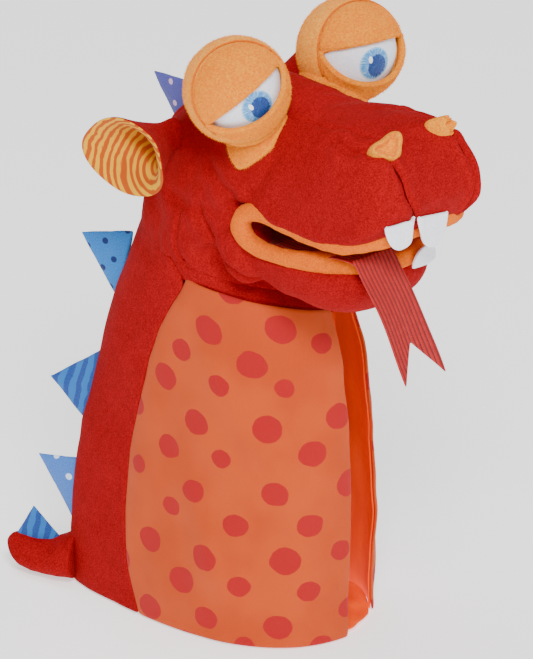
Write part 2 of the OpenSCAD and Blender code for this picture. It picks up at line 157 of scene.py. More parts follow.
def bake(obj):
    """Applies the object's modifiers to its mesh."""
    evaluated = obj.evaluated_get(bpy.context.evaluated_depsgraph_get())
    mesh = bpy.data.meshes.new_from_object(evaluated)
    old = obj.data
    obj.modifiers.clear()
    obj.data = mesh
    mesh.name = obj.name
    bpy.data.meshes.remove(old)
    return obj


def subdivide(obj):
    mod = obj.modifiers.new("smooth", "SUBSURF")
    mod.levels = mod.render_levels = 1
    return bake(obj)


def grid_quads(rows, cols, wrap=False, start=0, flip=False):
    quads = []
    last = cols if wrap else cols - 1
    for j in range(rows - 1):
        for i in range(last):
            a, b = start + j * cols + i, start + j * cols + (i + 1) % cols
            quad = (a, b, b + cols, a + cols)
            quads.append(quad[::-1] if flip else quad)
    return quads


def grid_normals(grid, wrap=False):
    if wrap:
        du = np.roll(grid, -1, 1) - np.roll(grid, 1, 1)
    else:
        du = np.gradient(grid, axis=1)
    dv = np.gradient(grid, axis=0)
    return unit(np.cross(du, dv) + 1e-12)


def normals_towards(grid, out):
    normals = grid_normals(grid)
    middle = normals[normals.shape[0] // 2, normals.shape[1] // 2]
    return -normals if np.dot(middle, out) < 0 else normals


def panel(name, grid, thick, materials, cloth=None, wrap=False, outward=None):
    """A sheet of cloth round a grid of points, with rounded edges. Its first material faces out."""
    grid = np.asarray(grid, float)
    rows, cols = grid.shape[:2]
    normals = grid_normals(grid, wrap)
    turned = outward is not None and np.dot(normals[rows // 2, cols // 2], np.asarray(outward, float)) < 0
    if turned:
        normals = -normals
    count = rows * cols
    faces = grid_quads(rows, cols, wrap, 0, turned)
    back = grid_quads(rows, cols, wrap, count, not turned)
    zones = [0] * len(faces) + [min(1, len(materials) - 1)] * len(back)
    faces += back
    if wrap:
        loops = [list(range(cols)), list(range((rows - 1) * cols, rows * cols))]
    else:
        loops = [list(range(cols)) + [j * cols + cols - 1 for j in range(1, rows)]
                 + [(rows - 1) * cols + i for i in range(cols - 2, -1, -1)]
                 + [j * cols for j in range(rows - 2, 0, -1)]]
    for k, loop in enumerate(loops):
        for a, b in zip(loop, loop[1:] + loop[:1]):
            quad = (a, a + count, b + count, b)
            faces.append(quad[::-1] if turned ^ (k == 1) else quad)
            zones.append(0)
    if cloth is not None:
        cloth = np.tile(np.asarray(cloth, float).reshape(-1, 3), (2, 1))
    points = [(grid + way * normals * thick / 2).reshape(-1, 3) for way in (1, -1)]
    return subdivide(make(name, np.concatenate(points), faces, materials, zones, cloth))


def ring_quads(rows, cols):
    """The faces of a closed ring of rings."""
    quads = []
    for j in range(rows):
        here, following = j * cols, (j + 1) % rows * cols
        for i in range(cols):
            k = (i + 1) % cols
            quads.append((here + i, here + k, following + k, following + i))
    return quads


def loft(sections):
    """Points and faces of a closed solid through rings of points."""
    sections = np.asarray(sections, float)
    rows, cols = sections.shape[:2]
    points = sections.reshape(-1, 3)
    ends = [tuple(range(cols))[::-1], tuple(range((rows - 1) * cols, rows * cols))]
    return points, grid_quads(rows, cols, True) + ends


def joined(solids):
    points, faces, start = [], [], 0
    for p, f in solids:
        points.append(p)
        faces += [tuple(start + i for i in q) for q in f]
        start += len(p)
    return np.concatenate(points), faces


def remeshed(name, solids, voxel):
    points, faces = joined(solids)
    obj = make(name, points, faces, [])
    mod = obj.modifiers.new("voxels", "REMESH")
    mod.mode = "VOXEL"
    mod.voxel_size = voxel * MM
    return bake(obj)


def read(items, key, width, kind=float):
    out = np.empty(len(items) * width, dtype=kind)
    items.foreach_get(key, out)
    return out.reshape(-1, width)


def coordinates(obj):
    return read(obj.data.vertices, "co", 3) / MM


def set_coordinates(obj, points):
    obj.data.vertices.foreach_set("co", (np.asarray(points) * MM).ravel())
    obj.data.update()


def relax(points, edges, rounds):
    """Moves each point half way to the mean of its neighbours, again and again."""
    a, b = edges.T
    count = np.bincount(edges.ravel(), minlength=len(points))[:, None]
    for _ in range(rounds):
        total = np.zeros_like(points)
        np.add.at(total, a, points[b])
        np.add.at(total, b, points[a])
        points = points + 0.5 * (total / count - points)
    return points


def tree_of(obj):
    faces = [tuple(p.vertices) for p in obj.data.polygons]
    return BVHTree.FromPolygons([Vector(p) for p in coordinates(obj)], faces)


def spline(controls, count, closed=False):
    """Catmull-Rom through the control rows, at count values evenly along their length."""
    c = np.asarray(controls, float)
    if closed:
        c = np.concatenate([c[-1:], c, c[:2]])
    else:
        c = np.concatenate([2 * c[:1] - c[1:2], c, 2 * c[-1:] - c[-2:-1]])
    fine = []
    for k in range(1, len(c) - 2):
        t = np.linspace(0, 1, 17)[:-1, None]
        p0, p1, p2, p3 = c[k - 1], c[k], c[k + 1], c[k + 2]
        fine.append(0.5 * (2 * p1 + (p2 - p0) * t + (2 * p0 - 5 * p1 + 4 * p2 - p3) * t**2
                           + (3 * p1 - p0 - 3 * p2 + p3) * t**3))
    fine = np.concatenate(fine + [c[-2:-1]])
    step = np.linalg.norm(np.diff(fine[:, :3], axis=0), axis=1)
    s = np.concatenate([[0], np.cumsum(step)])
    at = np.linspace(0, s[-1], count + 1)[:-1] if closed else np.linspace(0, s[-1], count)
    return np.stack([np.interp(at, s, fine[:, k]) for k in range(fine.shape[1])], 1)


# ---- Materials ------------------------------------------------------------------------------
class Field:
    """A node's output, which can be added to, taken from and multiplied."""

    def __init__(self, nodes, socket):
        self.nodes, self.socket = nodes, socket

    def __add__(self, other):
        return self.nodes.math("ADD", self, other)

    def __sub__(self, other):
        return self.nodes.math("SUBTRACT", self, other)

    def __mul__(self, other):
        return self.nodes.math("MULTIPLY", self, other)

    def sine(self, cycle):
        """Its sine, with a cycle this long."""
        return self.nodes.math("SINE", self * (2 * math.pi / cycle))

    def stray(self, reach):
        """A noise from 0 to 1 as one from -reach / 2 to reach / 2."""
        return (self - 0.5) * reach


class Nodes:
    """A short way to write a material's node tree."""

    def __init__(self, name):
        self.material = bpy.data.materials.new(name)
        self.material.use_nodes = True
        self.tree = self.material.node_tree
        self.shader = self.tree.nodes["Principled BSDF"]

    def add(self, kind, props=None, **inputs):
        node = self.tree.nodes.new(kind)
        for key, value in (props or {}).items():
            setattr(node, key, value)
        for key, value in inputs.items():
            self.put(node, key.replace("_", " "), value)
        return node

    def put(self, node, key, value):
        socket = node.inputs[key]
        if isinstance(value, Field):
            self.tree.links.new(value.socket, socket)
        elif socket.type == "RGBA" and len(value) == 3:
            socket.default_value = (*value, 1)
        else:
            socket.default_value = value

    def out(self, node, values=(), output=0):
        """Fills the node's first inputs and gives one of its outputs."""
        for key, value in enumerate(values):
            self.put(node, key, value)
        return Field(self, node.outputs[output])

    def math(self, operation, a, b=0.0):
        return self.out(self.add("ShaderNodeMath", {"operation": operation}), (a, b))

    def vector(self, operation, a, b=(0, 0, 0)):
        node = self.add("ShaderNodeVectorMath", {"operation": operation})
        return self.out(node, (a, b), "Value" if operation in ("LENGTH", "DISTANCE") else 0)

    def scaled(self, a, scale):
        return self.out(self.add("ShaderNodeVectorMath", {"operation": "SCALE"}, Scale=scale), (a,))

    def place(self):
        return self.out(self.add("ShaderNodeTexCoord"), output="Object")

    def cloth(self):
        """The cloth's own flat coordinates, in mm."""
        return self.out(self.add("ShaderNodeAttribute", {"attribute_name": "cloth"}), output="Vector")

    def split(self, vector):
        node = self.add("ShaderNodeSeparateXYZ", Vector=vector)
        return Field(self, node.outputs[0]), Field(self, node.outputs[1])

    def join(self, x, y):
        return self.out(self.add("ShaderNodeCombineXYZ"), (x, y, 0.0))

    def noise(self, vector, scale, detail=2.0, roughness=0.5):
        return self.out(self.add("ShaderNodeTexNoise", Vector=vector, Scale=scale, Detail=detail,
                                 Roughness=roughness))

    def ramp(self, value, low, high, out_low=0.0, out_high=1.0):
        node = self.add("ShaderNodeMapRange", {"interpolation_type": "SMOOTHSTEP"})
        return self.out(node, (value, low, high, out_low, out_high))

    def mix(self, factor, a, b):
        node = self.add("ShaderNodeMix", {"data_type": "RGBA"})
        for key, value in ((0, factor), (6, a), (7, b)):
            self.put(node, key, value)
        return Field(self, node.outputs[2])

    def blotches(self, noise, a, b, low=0.3, high=0.7):
        """From colour a to colour b as the noise rises from low to high."""
        return self.mix(self.ramp(noise, low, high), a, b)

    def cells(self, uv, size, turn, randomness):
        """Scattered cells of about size mm, on a grid turned by so many degrees."""
        mapping = self.add("ShaderNodeMapping", Vector=uv, Rotation=(0, 0, math.radians(turn)),
                           Scale=(1 / size,) * 3)
        return self.add("ShaderNodeTexVoronoi", {"voronoi_dimensions": "2D"}, Vector=self.out(mapping),
                        Scale=1.0, Randomness=randomness)

    def bump(self, height, depth, strength=1.0, under=None):
        """A bump of so many mm, over another normal where one is given."""
        node = self.add("ShaderNodeBump", Strength=strength, Distance=depth * MM, Height=height)
        if under is not None:
            self.put(node, "Normal", under)
        return self.out(node)

    def finish(self, colour, normal, roughness=0.8, sheen=0.0, tint=(1, 1, 1), sheen_roughness=0.4,
               specular=0.3, **more):
        inputs = {"Base Color": colour, "Roughness": roughness, "Specular IOR Level": specular,
                  "Sheen Weight": sheen, "Sheen Roughness": sheen_roughness, "Sheen Tint": tint, **more}
        if normal is not None:
            inputs["Normal"] = normal
        for key, value in inputs.items():
            self.put(self.shader, key.replace("_", " "), value)
        return self.material


def pile(name, base, light, sheen=0.2, tint=(1, 0.6, 0.6), fuzz=0.35, size=1.0):
    """Velour or plush: short pile that leans in patches, lighter where its tips catch the light."""
    n = Nodes(name)
    p = n.place()
    broad = n.noise(p, 38 / size, 3)
    patches = n.noise(p, 240 / size, 3)
    fibres = n.noise(p, 1250 / size, 3, 0.75)
    knit = n.noise(n.vector("MULTIPLY", p, (900 / size, 900 / size, 2400 / size)), 1.0, 1)
    tone = broad * 0.10 + patches * 0.08 + fibres * 0.54 + knit * 0.28
    normal = n.bump(fibres, 0.7 * size, fuzz, n.bump(patches, 0.8 * size, fuzz * 0.4))
    return n.finish(n.blotches(tone, base, light, 0.38, 0.64), normal, 0.9, sheen, tint, 0.3, 0.08)


def weave_normal(n, uv, pitch):
    """Plain weave: warp and weft that pass over and under each other, at pitch mm."""
    x, y = n.split(n.scaled(uv, math.pi / pitch))
    x, y = n.math("SINE", x), n.math("SINE", y)
    threads = n.math("MAXIMUM", n.math("ABSOLUTE", x), n.math("ABSOLUTE", y))
    return n.bump(threads + x * y * 0.4, 0.10, 0.5)


def printed_cotton():
    """The belly: orange with uneven red dots about 12 mm across."""
    n = Nodes("printed_cotton")
    uv = n.cloth()
    shift = n.join(n.noise(uv, 0.11).stray(2.2), n.noise(n.vector("ADD", uv, (40, 90, 0)), 0.11).stray(2.2))
    bent = n.vector("ADD", uv, shift)
    cells = n.cells(n.vector("MULTIPLY", bent, (0.9, 1.0, 1.0)), 25.0, 41, 0.36)
    chance, _ = n.split(n.out(cells, output="Color"))
    edge = n.out(cells, output="Distance") - n.ramp(chance, 0.0, 1.0, 0.19, 0.295)
    grain = n.noise(uv, 2.2, 2, 0.7)
    ground = n.blotches(n.noise(n.place(), 30), (0.44, 0.042, 0.005), (0.52, 0.060, 0.009))
    ground = n.mix(grain * 0.28, ground, (0.78, 0.15, 0.03))
    ink = n.mix(grain * 0.30, (0.38, 0.007, 0.010), (0.55, 0.030, 0.024))
    colour = n.mix(n.ramp(edge, -0.008, 0.008, 1.0, 0.0), ground, ink)
    return n.finish(colour, weave_normal(n, uv, 0.55), 0.85, 0.08, (1, 0.8, 0.7), 0.5, 0.15)


def satin():
    n = Nodes("orange_satin")
    p = n.place()
    creases = n.noise(n.vector("MULTIPLY", p, (70, 70, 18)), 1.0, 3)
    thread = n.noise(n.vector("MULTIPLY", p, (300, 300, 3500)), 1.0, 1)
    # Painted shade: the satin is darker where the crease noise sinks, in the hollows that the bump makes.
    colour = n.blotches(creases, (0.80, 0.055, 0.0), (0.92, 0.10, 0.0))
    normal = n.bump(thread, 0.06, 0.4, n.bump(creases, 2.5, 0.5))
    # Painted light: a faint orange glow that stands in for light shining through the satin.
    return n.finish(colour, normal, 0.58, 0.0, (1, 0.6, 0.3), 0.3, 0.15, Emission_Color=(1.0, 0.10, 0.0),
                    Emission_Strength=0.10)


def ribbed_ribbon():
    n = Nodes("tongue_ribbon")
    uv = n.cloth()
    x, y = n.split(uv)
    ribs = n.math("ABSOLUTE", x.sine(2 * 2.55))
    # Painted light and shade: each rib is light on its crest and dark in its groove, following the bump, with a
    # little random variation.
    tone = n.ramp(ribs, 0.0, 0.8) * n.ramp(n.noise(uv, 0.25), 0.3, 0.7, 0.75, 1.0)
    colour = n.mix(tone, (0.13, 0.001, 0.002), (0.48, 0.010, 0.010))
    return n.finish(colour, n.bump(ribs + y.sine(0.9) * 0.10, 0.5, 0.9), 0.5, 0.12, (1, 0.5, 0.45), 0.4, 0.35)


def felt(name, base, light, sheen=0.3):
    n = Nodes(name)
    wool = n.noise(n.place(), 900, 4, 0.8)
    colour = n.blotches(wool, base, light, 0.35, 0.65)
    return n.finish(colour, n.bump(wool, 0.35, 0.4), 0.95, sheen, (1, 1, 1), 0.6, 0.1)


def lining(name, base, light):
    n = Nodes(name)
    knit = n.noise(n.vector("MULTIPLY", n.place(), (1100, 1100, 700)), 1.0)
    colour = n.blotches(knit, base, light, 0.35, 0.65)
    return n.finish(colour, n.bump(knit, 0.3, 0.4), 0.9, 0.2, (1, 0.6, 0.5), 0.5, 0.15)


def ear_stripes():
    n = Nodes("ear_cotton")
    uv = n.cloth()
    x, _ = n.split(uv)
    wave = n.noise(uv, 0.10).stray(5.0) + n.noise(uv, 0.5, 1).stray(0.9)
    colour = n.blotches((x + wave).sine(3.7), (0.46, 0.075, 0.003), (0.72, 0.36, 0.010), -0.35, 0.35)
    return n.finish(colour, weave_normal(n, uv, 0.6), 0.85, 0.1, (1, 0.9, 0.7), 0.5, 0.2)


def spike_cotton(name, ground, figure, pattern, size):
    """Printed cotton: dots or stripes of about size mm."""
    n = Nodes(name)
    uv = n.cloth()
    if pattern == "dots":
        cells = n.cells(uv, size * 3.6, 28, 0.35)
        mask = n.ramp(n.out(cells, output="Distance"), 0.13, 0.16, 1.0, 0.0)
    else:
        x, y = n.split(uv)
        mask = n.ramp((x + y * 0.22 + n.noise(uv, 0.08).stray(5.0)).sine(size), -0.15, 0.15)
    ground = n.blotches(n.noise(uv, 1.6), ground, tuple(min(1, c * 1.25 + 0.02) for c in ground))
    colour = n.mix(mask, ground, figure)
    return n.finish(colour, weave_normal(n, uv, 0.6), 0.8, 0.25, (0.8, 0.9, 1), 0.5, 0.25)


def embroidery():
    """The iris in blue thread that runs outwards, with a ragged edge, a dark pupil and a white spark."""
    n = Nodes("iris_embroidery")
    uv = n.cloth()
    r = n.vector("LENGTH", uv)
    x, y = n.split(uv)
    threads = n.noise(n.join(n.math("ARCTAN2", y, x) * 9.0, r * 0.22), 1.6, 2, 0.7)
    pupil = n.vector("DISTANCE", n.vector("MULTIPLY", uv, (1.0, 0.86, 1)), (0.9, -0.9, 0))
    spark = n.vector("DISTANCE", n.vector("MULTIPLY", uv, (1.0, 0.60, 1)), (-2.9, 1.7, 0))
    colour = n.blotches(r + threads.stray(2.0), (0.035, 0.26, 0.66), (0.34, 0.64, 0.90), 7.2, 8.6)
    colour = n.mix(n.ramp(threads, 0.46, 0.62, 0.0, 0.60), colour, (0.50, 0.78, 0.95))
    dark = n.blotches(threads, (0.003, 0.035, 0.20), (0.012, 0.13, 0.48), 0.50, 0.66)
    colour = n.mix(n.ramp(pupil + threads.stray(1.6), 5.0, 5.6, 1.0, 0.0), colour, dark)
    colour = n.mix(n.ramp(spark, 0.95, 1.25, 1.0, 0.0), colour, (0.95, 0.96, 1.0))
    return n.finish(colour, n.bump(threads, 0.5, 0.6), 0.5, 0.3, (0.8, 0.9, 1), 0.4, 0.4)


RED = pile("red_velour", (0.22, 0.0010, 0.0022), (0.42, 0.004, 0.0075), 0.07, (1.0, 0.2, 0.2), 0.55)
THREAD = felt("seam_thread", (0.050, 0.0004, 0.0008), (0.09, 0.001, 0.002), 0.0)
LIP = pile("orange_velour", (0.66, 0.095, 0.002), (0.86, 0.19, 0.006), 0.06, (1, 0.7, 0.4), 0.45)
PLUSH = pile("orange_plush", (0.88, 0.20, 0.003), (1.0, 0.42, 0.022), 0.10, (1, 0.75, 0.45), 1.0, 1.35)
# A paler copy of the orange plush: painted light for the lit back and top of the eyes.
PLUSH_PAINTED_LIGHT = pile("painted_lit_orange_plush", (0.96, 0.29, 0.015), (1.0, 0.52, 0.075), 0.16, (1, 0.8, 0.6), 1.0, 1.35)
PLUSH_TIP = pile("plush_tips", (0.92, 0.24, 0.006), (1.0, 0.46, 0.035), 0.0, (1, 0.8, 0.5), 0.2, 0.8)
SEAM = felt("orange_seam", (0.66, 0.12, 0.002), (0.80, 0.18, 0.004), 0.0)
WHITE = pile("white_velour", (0.76, 0.80, 0.92), (0.92, 0.94, 1.0), 0.2, (1, 1, 1), 0.45)
PRINT = printed_cotton()
SATIN = satin()
RIBBON = ribbed_ribbon()
FELT = felt("white_felt", (0.84, 0.86, 0.98), (0.97, 0.97, 1.0))
DARK = lining("lining_cloth", (0.22, 0.008, 0.010), (0.34, 0.016, 0.018))
EAR = ear_stripes()
IRIS = embroidery()
FILL = felt("stuffing", (0.8, 0.8, 0.8), (0.9, 0.9, 0.9))

# ---- The cloths' thicknesses ----------------------------------------------------------------
VELOUR_T, PLUSH_T, FELT_T, COTTON_T = 2.4, 2.9, 1.7, 1.4
LINING_T, RIBBON_T = 1.2, 1.1

# ---- The sleeve's surface -------------------------------------------------------------------
back_of = table((0, 85), (29.8, 86), (89.3, 79), (130.2, 68), (156.2, 62), (186, 52))
front_of = table((0, 78), (55.8, 79), (111.6, 77), (148.8, 73), (186, 63))
half_of = table((0, 46), (37.2, 47), (111.6, 45), (156.2, 42), (186, 39))
full_of = table((0, 0.55), (93, 0.48), (156.2, 0.3), (186, 0.18))
seam_of = table((0, 112), (22.3, 117), (55.8, 120.5), (111.6, 120), (141.4, 118), (160, 114),
                (174.8, 108), (186, 102), (200, 98))


def sleeve_point(angle, z, inset=0.0):
    """Angle in degrees: 0 is the front, positive towards the puppet's left, 180 the spine."""
    a = np.radians(angle)
    f, b, h = front_of(z) - inset, back_of(z) - inset, half_of(z) - inset
    x = h * np.sin(a) * (1 + full_of(z) * np.cos(a))
    y = (b - f) / 2 - np.cos(a) * (b + f) / 2
    return np.stack([x, y, np.broadcast_to(z, x.shape) * 1.0], -1)


# ---- The head's base form -------------------------------------------------------------------
crown_of = table((-150, 262), (-148, 270), (-144, 280), (-138, 288), (-128, 295), (-110, 297.5),
                 (-95, 296.5), (-80, 294), (-50, 298), (-25, 299), (0, 289), (25, 266), (38, 244), (45, 226))
head_half_of = table((-150, 22), (-148, 31), (-144, 38), (-136, 41.5), (-122, 43), (-50, 42),
                     (-25, 41.5), (0, 40), (25, 34), (38, 23), (45, 9))
rim_of = table((-150, 261), (-148, 256), (-146, 252.5), (-143, 250), (-136, 246), (-120, 243), (-100, 243),
               (-80, 244), (-60, 245.5), (-44, 245.5), (-37, 233), (-27, 214), (-14, 204), (0, 200), (25, 200),
               (40, 203), (45, 212))
boxy_of = table((-150, 0.6), (-125, 0.68), (-95, 0.85), (-65, 1), (-15, 1), (25, 0.85))
jaw_depth_of = table((-124.5, 4), (-123, 11), (-120, 17), (-112, 25), (-100, 29), (-88, 29.5),
                     (-75, 28.5), (-63, 25.5), (-52, 19), (-46, 16), (-38, 14))
jaw_half_of = table((-124.5, 12), (-123, 20), (-118, 28), (-108, 35), (-95, 38.5), (-80, 40), (-38, 38))
JAW_TOP = 219.5


def closed_arch(x, z, y, half, level):
    """A ring at y: an arch of points, closed by ten more across it at level."""
    across = np.linspace(-1, 1, 12)[1:-1] * half
    x, z = np.concatenate([x, across]), np.concatenate([z, np.full(len(across), level)])
    return np.stack([x, np.full(len(x), y), z], 1)


def vault():
    """The head from the upper lip's edge up, as arches from the snout to the nape."""
    ys = np.concatenate([np.linspace(-150, -136, 8), np.linspace(-132, 30, 34), np.linspace(33, 45, 6)])
    rings = []
    for y in ys:
        a = np.linspace(0, np.pi, 40)
        w, r, c, k = head_half_of(y), rim_of(y), crown_of(y), boxy_of(y)
        x = w * signed(np.cos(a), k)
        z = r + (c - r) * np.sin(a) ** k
        rings.append(closed_arch(x, z, y, w, r))
    return loft(rings)


def twist(z):
    """How far the cloth has turned with the head at height z."""
    return TURN * smoothstep(184, 210, z)


def column_point(angle, z):
    """The sleeve's surface, carried on up into the neck's."""
    if z <= 176:
        return sleeve_point(angle, z)
    front = np.interp(z, (176, 186, 196, 206, 220, 240), (67, 62, 53, 47, 42, 40))
    back = np.interp(z, (176, 186, 196, 206, 220, 240), (55.6, 52, 49.5, 47, 43, 36))
    half = np.interp(z, (176, 186, 196, 206, 240), (40, 39, 38, 37.5, 35))
    r = np.radians(angle)
    k = 0.2 * (1 - smoothstep(176, 204, z))
    x = half * np.sin(r) * (1 + k * np.cos(r))
    y = (back - front) / 2 - np.cos(r) * (back + front) / 2
    return to_row(np.stack([x, y, np.full(np.shape(r), float(z))], -1), twist(z))


def column_points(angle, z):
    points = [column_point(a, h) for a, h in zip(np.ravel(angle), np.ravel(z))]
    return np.array(points).reshape(np.shape(angle) + (3,))


def neck_column():
    """From the sleeve's shape at the bottom to the neck's, turning with the head as it rises."""
    around = np.linspace(0, 360, 56, endpoint=False)
    heights = np.concatenate([np.linspace(140, 176, 10), np.linspace(180, 240, 16)])
    return loft([to_head(column_point(around, z)) for z in heights])


def jaw_bowl():
    ys = np.concatenate([np.linspace(-124.5, -112, 8), np.linspace(-108, -38, 16)])
    rings = []
    for y in ys:
        a = np.linspace(0, np.pi, 28)
        w, d = jaw_half_of(y), jaw_depth_of(y)
        x = w * signed(np.cos(a), 0.8)
        z = JAW_TOP - d * np.sin(a) ** 0.75
        rings.append(closed_arch(x, z, y, w, JAW_TOP))
    return loft(rings)


def capsule(path, radii, sides=20):
    """A round-ended tube through the points of a path."""
    path, radii = np.asarray(path, float), np.asarray(radii, float)
    along = unit(np.gradient(path, axis=0))
    side = unit(np.cross(along, (0.31, 0.2, 0.93)))
    other = np.cross(along, side)
    a = circle(sides)
    rings = [p + r * (np.cos(a)[:, None] * s + np.sin(a)[:, None] * o)
             for p, r, s, o in zip(path, radii, side, other)]
    return loft(rings)


def ellipsoid(centre, radii, lean=0.0, rows=20, cols=28):
    """Its long z axis leans back towards +y by lean degrees."""
    t = np.radians(lean)
    rings = []
    for v in np.linspace(0.03, 0.97, rows):
        r, z = np.sin(np.pi * v), -np.cos(np.pi * v)
        a = circle(cols)
        p = np.stack([radii[0] * r * np.cos(a), radii[1] * r * np.sin(a), np.full(cols, radii[2] * z)], 1)
        p = np.stack([p[:, 0], p[:, 1] * np.cos(t) + p[:, 2] * np.sin(t),
                      p[:, 2] * np.cos(t) - p[:, 1] * np.sin(t)], 1)
        rings.append(p + centre)
    return loft(rings)


def cheek(side):
    return ellipsoid((side * 30, -44, 221), (13, 15, 25), 16)


def jowl():
    """The plump lower edge of the snout's velour, which hangs over the upper lip."""
    side = [(38.8, -52, 248), (39.8, -63, 245.2), (40.0, -76, 242.4), (39.8, -95, 241.2), (39.2, -113, 241.4),
            (36, -127, 244.2), (27.5, -137, 248.0), (14, -142.5, 250.6)]
    path = side + [(0, -143.6, 252.2)] + [(-x, y, z) for x, y, z in side[::-1]]
    path = spline(np.array(path, float), 90)
    ends = np.minimum(1, np.minimum(np.arange(90), np.arange(90)[::-1]) / 8 + 0.3)
    return capsule(path, 4.3 * ends)


def along_curve(points, curve):
    """Distance of each point from a polyline."""
    best = np.full(len(points), 1e9)
    for a, b in zip(curve[:-1], curve[1:]):
        ab = b - a
        t = np.clip(((points - a) @ ab) / (ab @ ab), 0, 1)
        best = np.minimum(best, np.linalg.norm(points - a - t[:, None] * ab, axis=1))
    return best


VOXEL = 2.3
RELAX_ROUNDS = 7
head_form = remeshed("head_form", [vault(), neck_column(), jaw_bowl(), cheek(-1), cheek(1), jowl()], VOXEL)
edges = read(head_form.data.edges, "vertices", 2, np.int64)
set_coordinates(head_form, relax(coordinates(head_form), edges, RELAX_ROUNDS))
subdivide(head_form)


def laid_on(tree, points):
    return np.array([tree.find_nearest(Vector(q))[0] for q in points], float)


NOSE_SEAMS = {-1: [(-23, -136, 290), (-23.2, -139.5, 287), (-21.5, -144, 281), (-21, -148, 270),
                   (-16.5, -150, 259), (-14.5, -148, 251)],
              1: [(22, -136, 290), (25.5, -141, 281), (28, -143.5, 270), (27.5, -143, 260), (25, -140, 250)]}


# Depth, width and swell of each crease, then its points on the puppet's left.
CREASES = ((1.8, 2.2, 1.0, (23, -136, 289), (30, -121, 287), (30, -105, 292)),
           (2.4, 2.8, 0.8, (42, -22, 231), (41, -29, 223), (40, -37, 212), (38, -50, 202), (32, -63, 194)),
           (1.6, 2.8, 0.7, (44, -47, 247), (44, -37, 251), (43, -24, 257)),
           (1.1, 3.4, 0.5, (43, -58, 252), (43, -66, 262), (43, -70, 274)),
           (1.3, 1.4, 0.5, (42, -10, 196), (41, -6, 210), (41, -8, 226)),
           (1.2, 3.0, 0.6, (42, -30, 236), (41, -14, 232), (40, 2, 234)))


def shape_head():
    """Seams, creases and soft folds, as moves of the head's surface along its normals."""
    tree = tree_of(head_form)
    p, n = coordinates(head_form), read(head_form.data.vertex_normals, "vector", 3)

    def crease(curve, depth, width, lip):
        """A furrow along a curve, with cloth that swells on both sides by lip."""
        curve = laid_on(tree, spline(np.array(curve, float), 26))
        gap = along_curve(p, curve)
        return lip * bell(gap, 2.4 * width, 1.6 * width) - depth * bell(gap, 0, width)

    move = 0.9 * fractal(p, 30, 3, 2) + 0.4 * fractal(p, 12, 5, 2)
    # Upright folds where the neck's cloth gathers, and soft ones across the bridge of the snout.
    low = 1 - smoothstep(215, 238, p[:, 2])
    around = np.degrees(np.arctan2(p[:, 0], -p[:, 1]))
    folds = np.stack([around * 0.55, p[:, 2] * 0.25, np.zeros(len(p))], 1)
    move += 1.8 * low * smoothstep(186, 200, p[:, 2]) * fractal(folds, 11, 8, 2)
    bridge = smoothstep(270, 285, p[:, 2]) * (1 - smoothstep(-60, -45, p[:, 1]))
    cross = np.stack([p[:, 0] * 0.3, p[:, 1] + 0.35 * np.abs(p[:, 0]), np.zeros(len(p))], 1)
    move += 1.2 * bridge * fractal(cross, 13, 12, 2)
    cheeks = smoothstep(30, 38, np.abs(p[:, 0]))
    cheeks = cheeks * smoothstep(-75, -60, p[:, 1]) * (1 - smoothstep(-20, 0, p[:, 1]))
    slant = np.stack([p[:, 1] + 0.9 * p[:, 2], (p[:, 2] - p[:, 1]) * 0.25, p[:, 0] * 0.1], 1)
    move += 1.3 * cheeks * fractal(slant, 13, 15, 2)
    for side in (-1, 1):
        move += crease(NOSE_SEAMS[side], 1.5, 1.5, 1.0 if side < 0 else 1.9)
        edge = [(side * w, y, float(crown_of(y))) for y, w in
                ((-122, 22.5), (-100, 24), (-75, 23.5), (-50, 22.5), (-25, 22), (0, 21), (22, 17), (36, 10))]
        move += crease(edge, 0.9, 1.3, 0.25)
        for depth, width, lip, *curve in CREASES:
            move += crease([(side * x, y, z) for x, y, z in curve], depth, width, lip)
    from_tip = ((p - (0, -142, 291)) / (12, 9, 9)) ** 2
    move -= 2.4 * np.exp(-from_tip.sum(1))
    set_coordinates(head_form, p + n * move[:, None])


shape_head()
head_tree = tree_of(head_form)


def on_head(origin, direction):
    """Where a ray from outside first meets the head's surface, in the head's frame."""
    hit = head_tree.ray_cast(Vector(origin), Vector(direction))[0]
    return None if hit is None else np.array(hit)


# ---- Fitting pieces to the frame ------------------------------------------------------------
used = set()


def settle(obj, nodes="", body=None):
    """What a piece is: the CAD nodes it stands for, which are hidden, and the body it rides."""
    fresh = [node for node in nodes.split() if node not in used]
    if fresh:
        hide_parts(*fresh)
        used.update(fresh)
    if body:
        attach(obj, body)
    return obj


def metres(p):
    return tuple(float(c) * MM for c in p)


def row_metres(*p):
    return metres(to_row(p))


TILT = 0.213                     # the neck's rings fall by this towards the front
NECK_CUT = 200
TILT_LENGTH = math.hypot(TILT, 1)
TILT_AXIS = np.array([0, -TILT, 1]) / TILT_LENGTH
JAW_BACK, JAW_LINE = -44, 229    # where the jaw's skin is cut from the head's
TURN_IN = 2.2                    # how far a cut edge is turned in


def blend_band(obj, a, b, low, high, turn):
    """Bakes the object's transform; the band of cloth whose height, measured on the tilt, is from low to high
    is worked out but nothing is blended over it.
    """
    start = np.array([0, 0, low], float)
    end = start + to_row(TILT_AXIS, turn) * (high - low) / TILT_LENGTH
    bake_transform(obj)


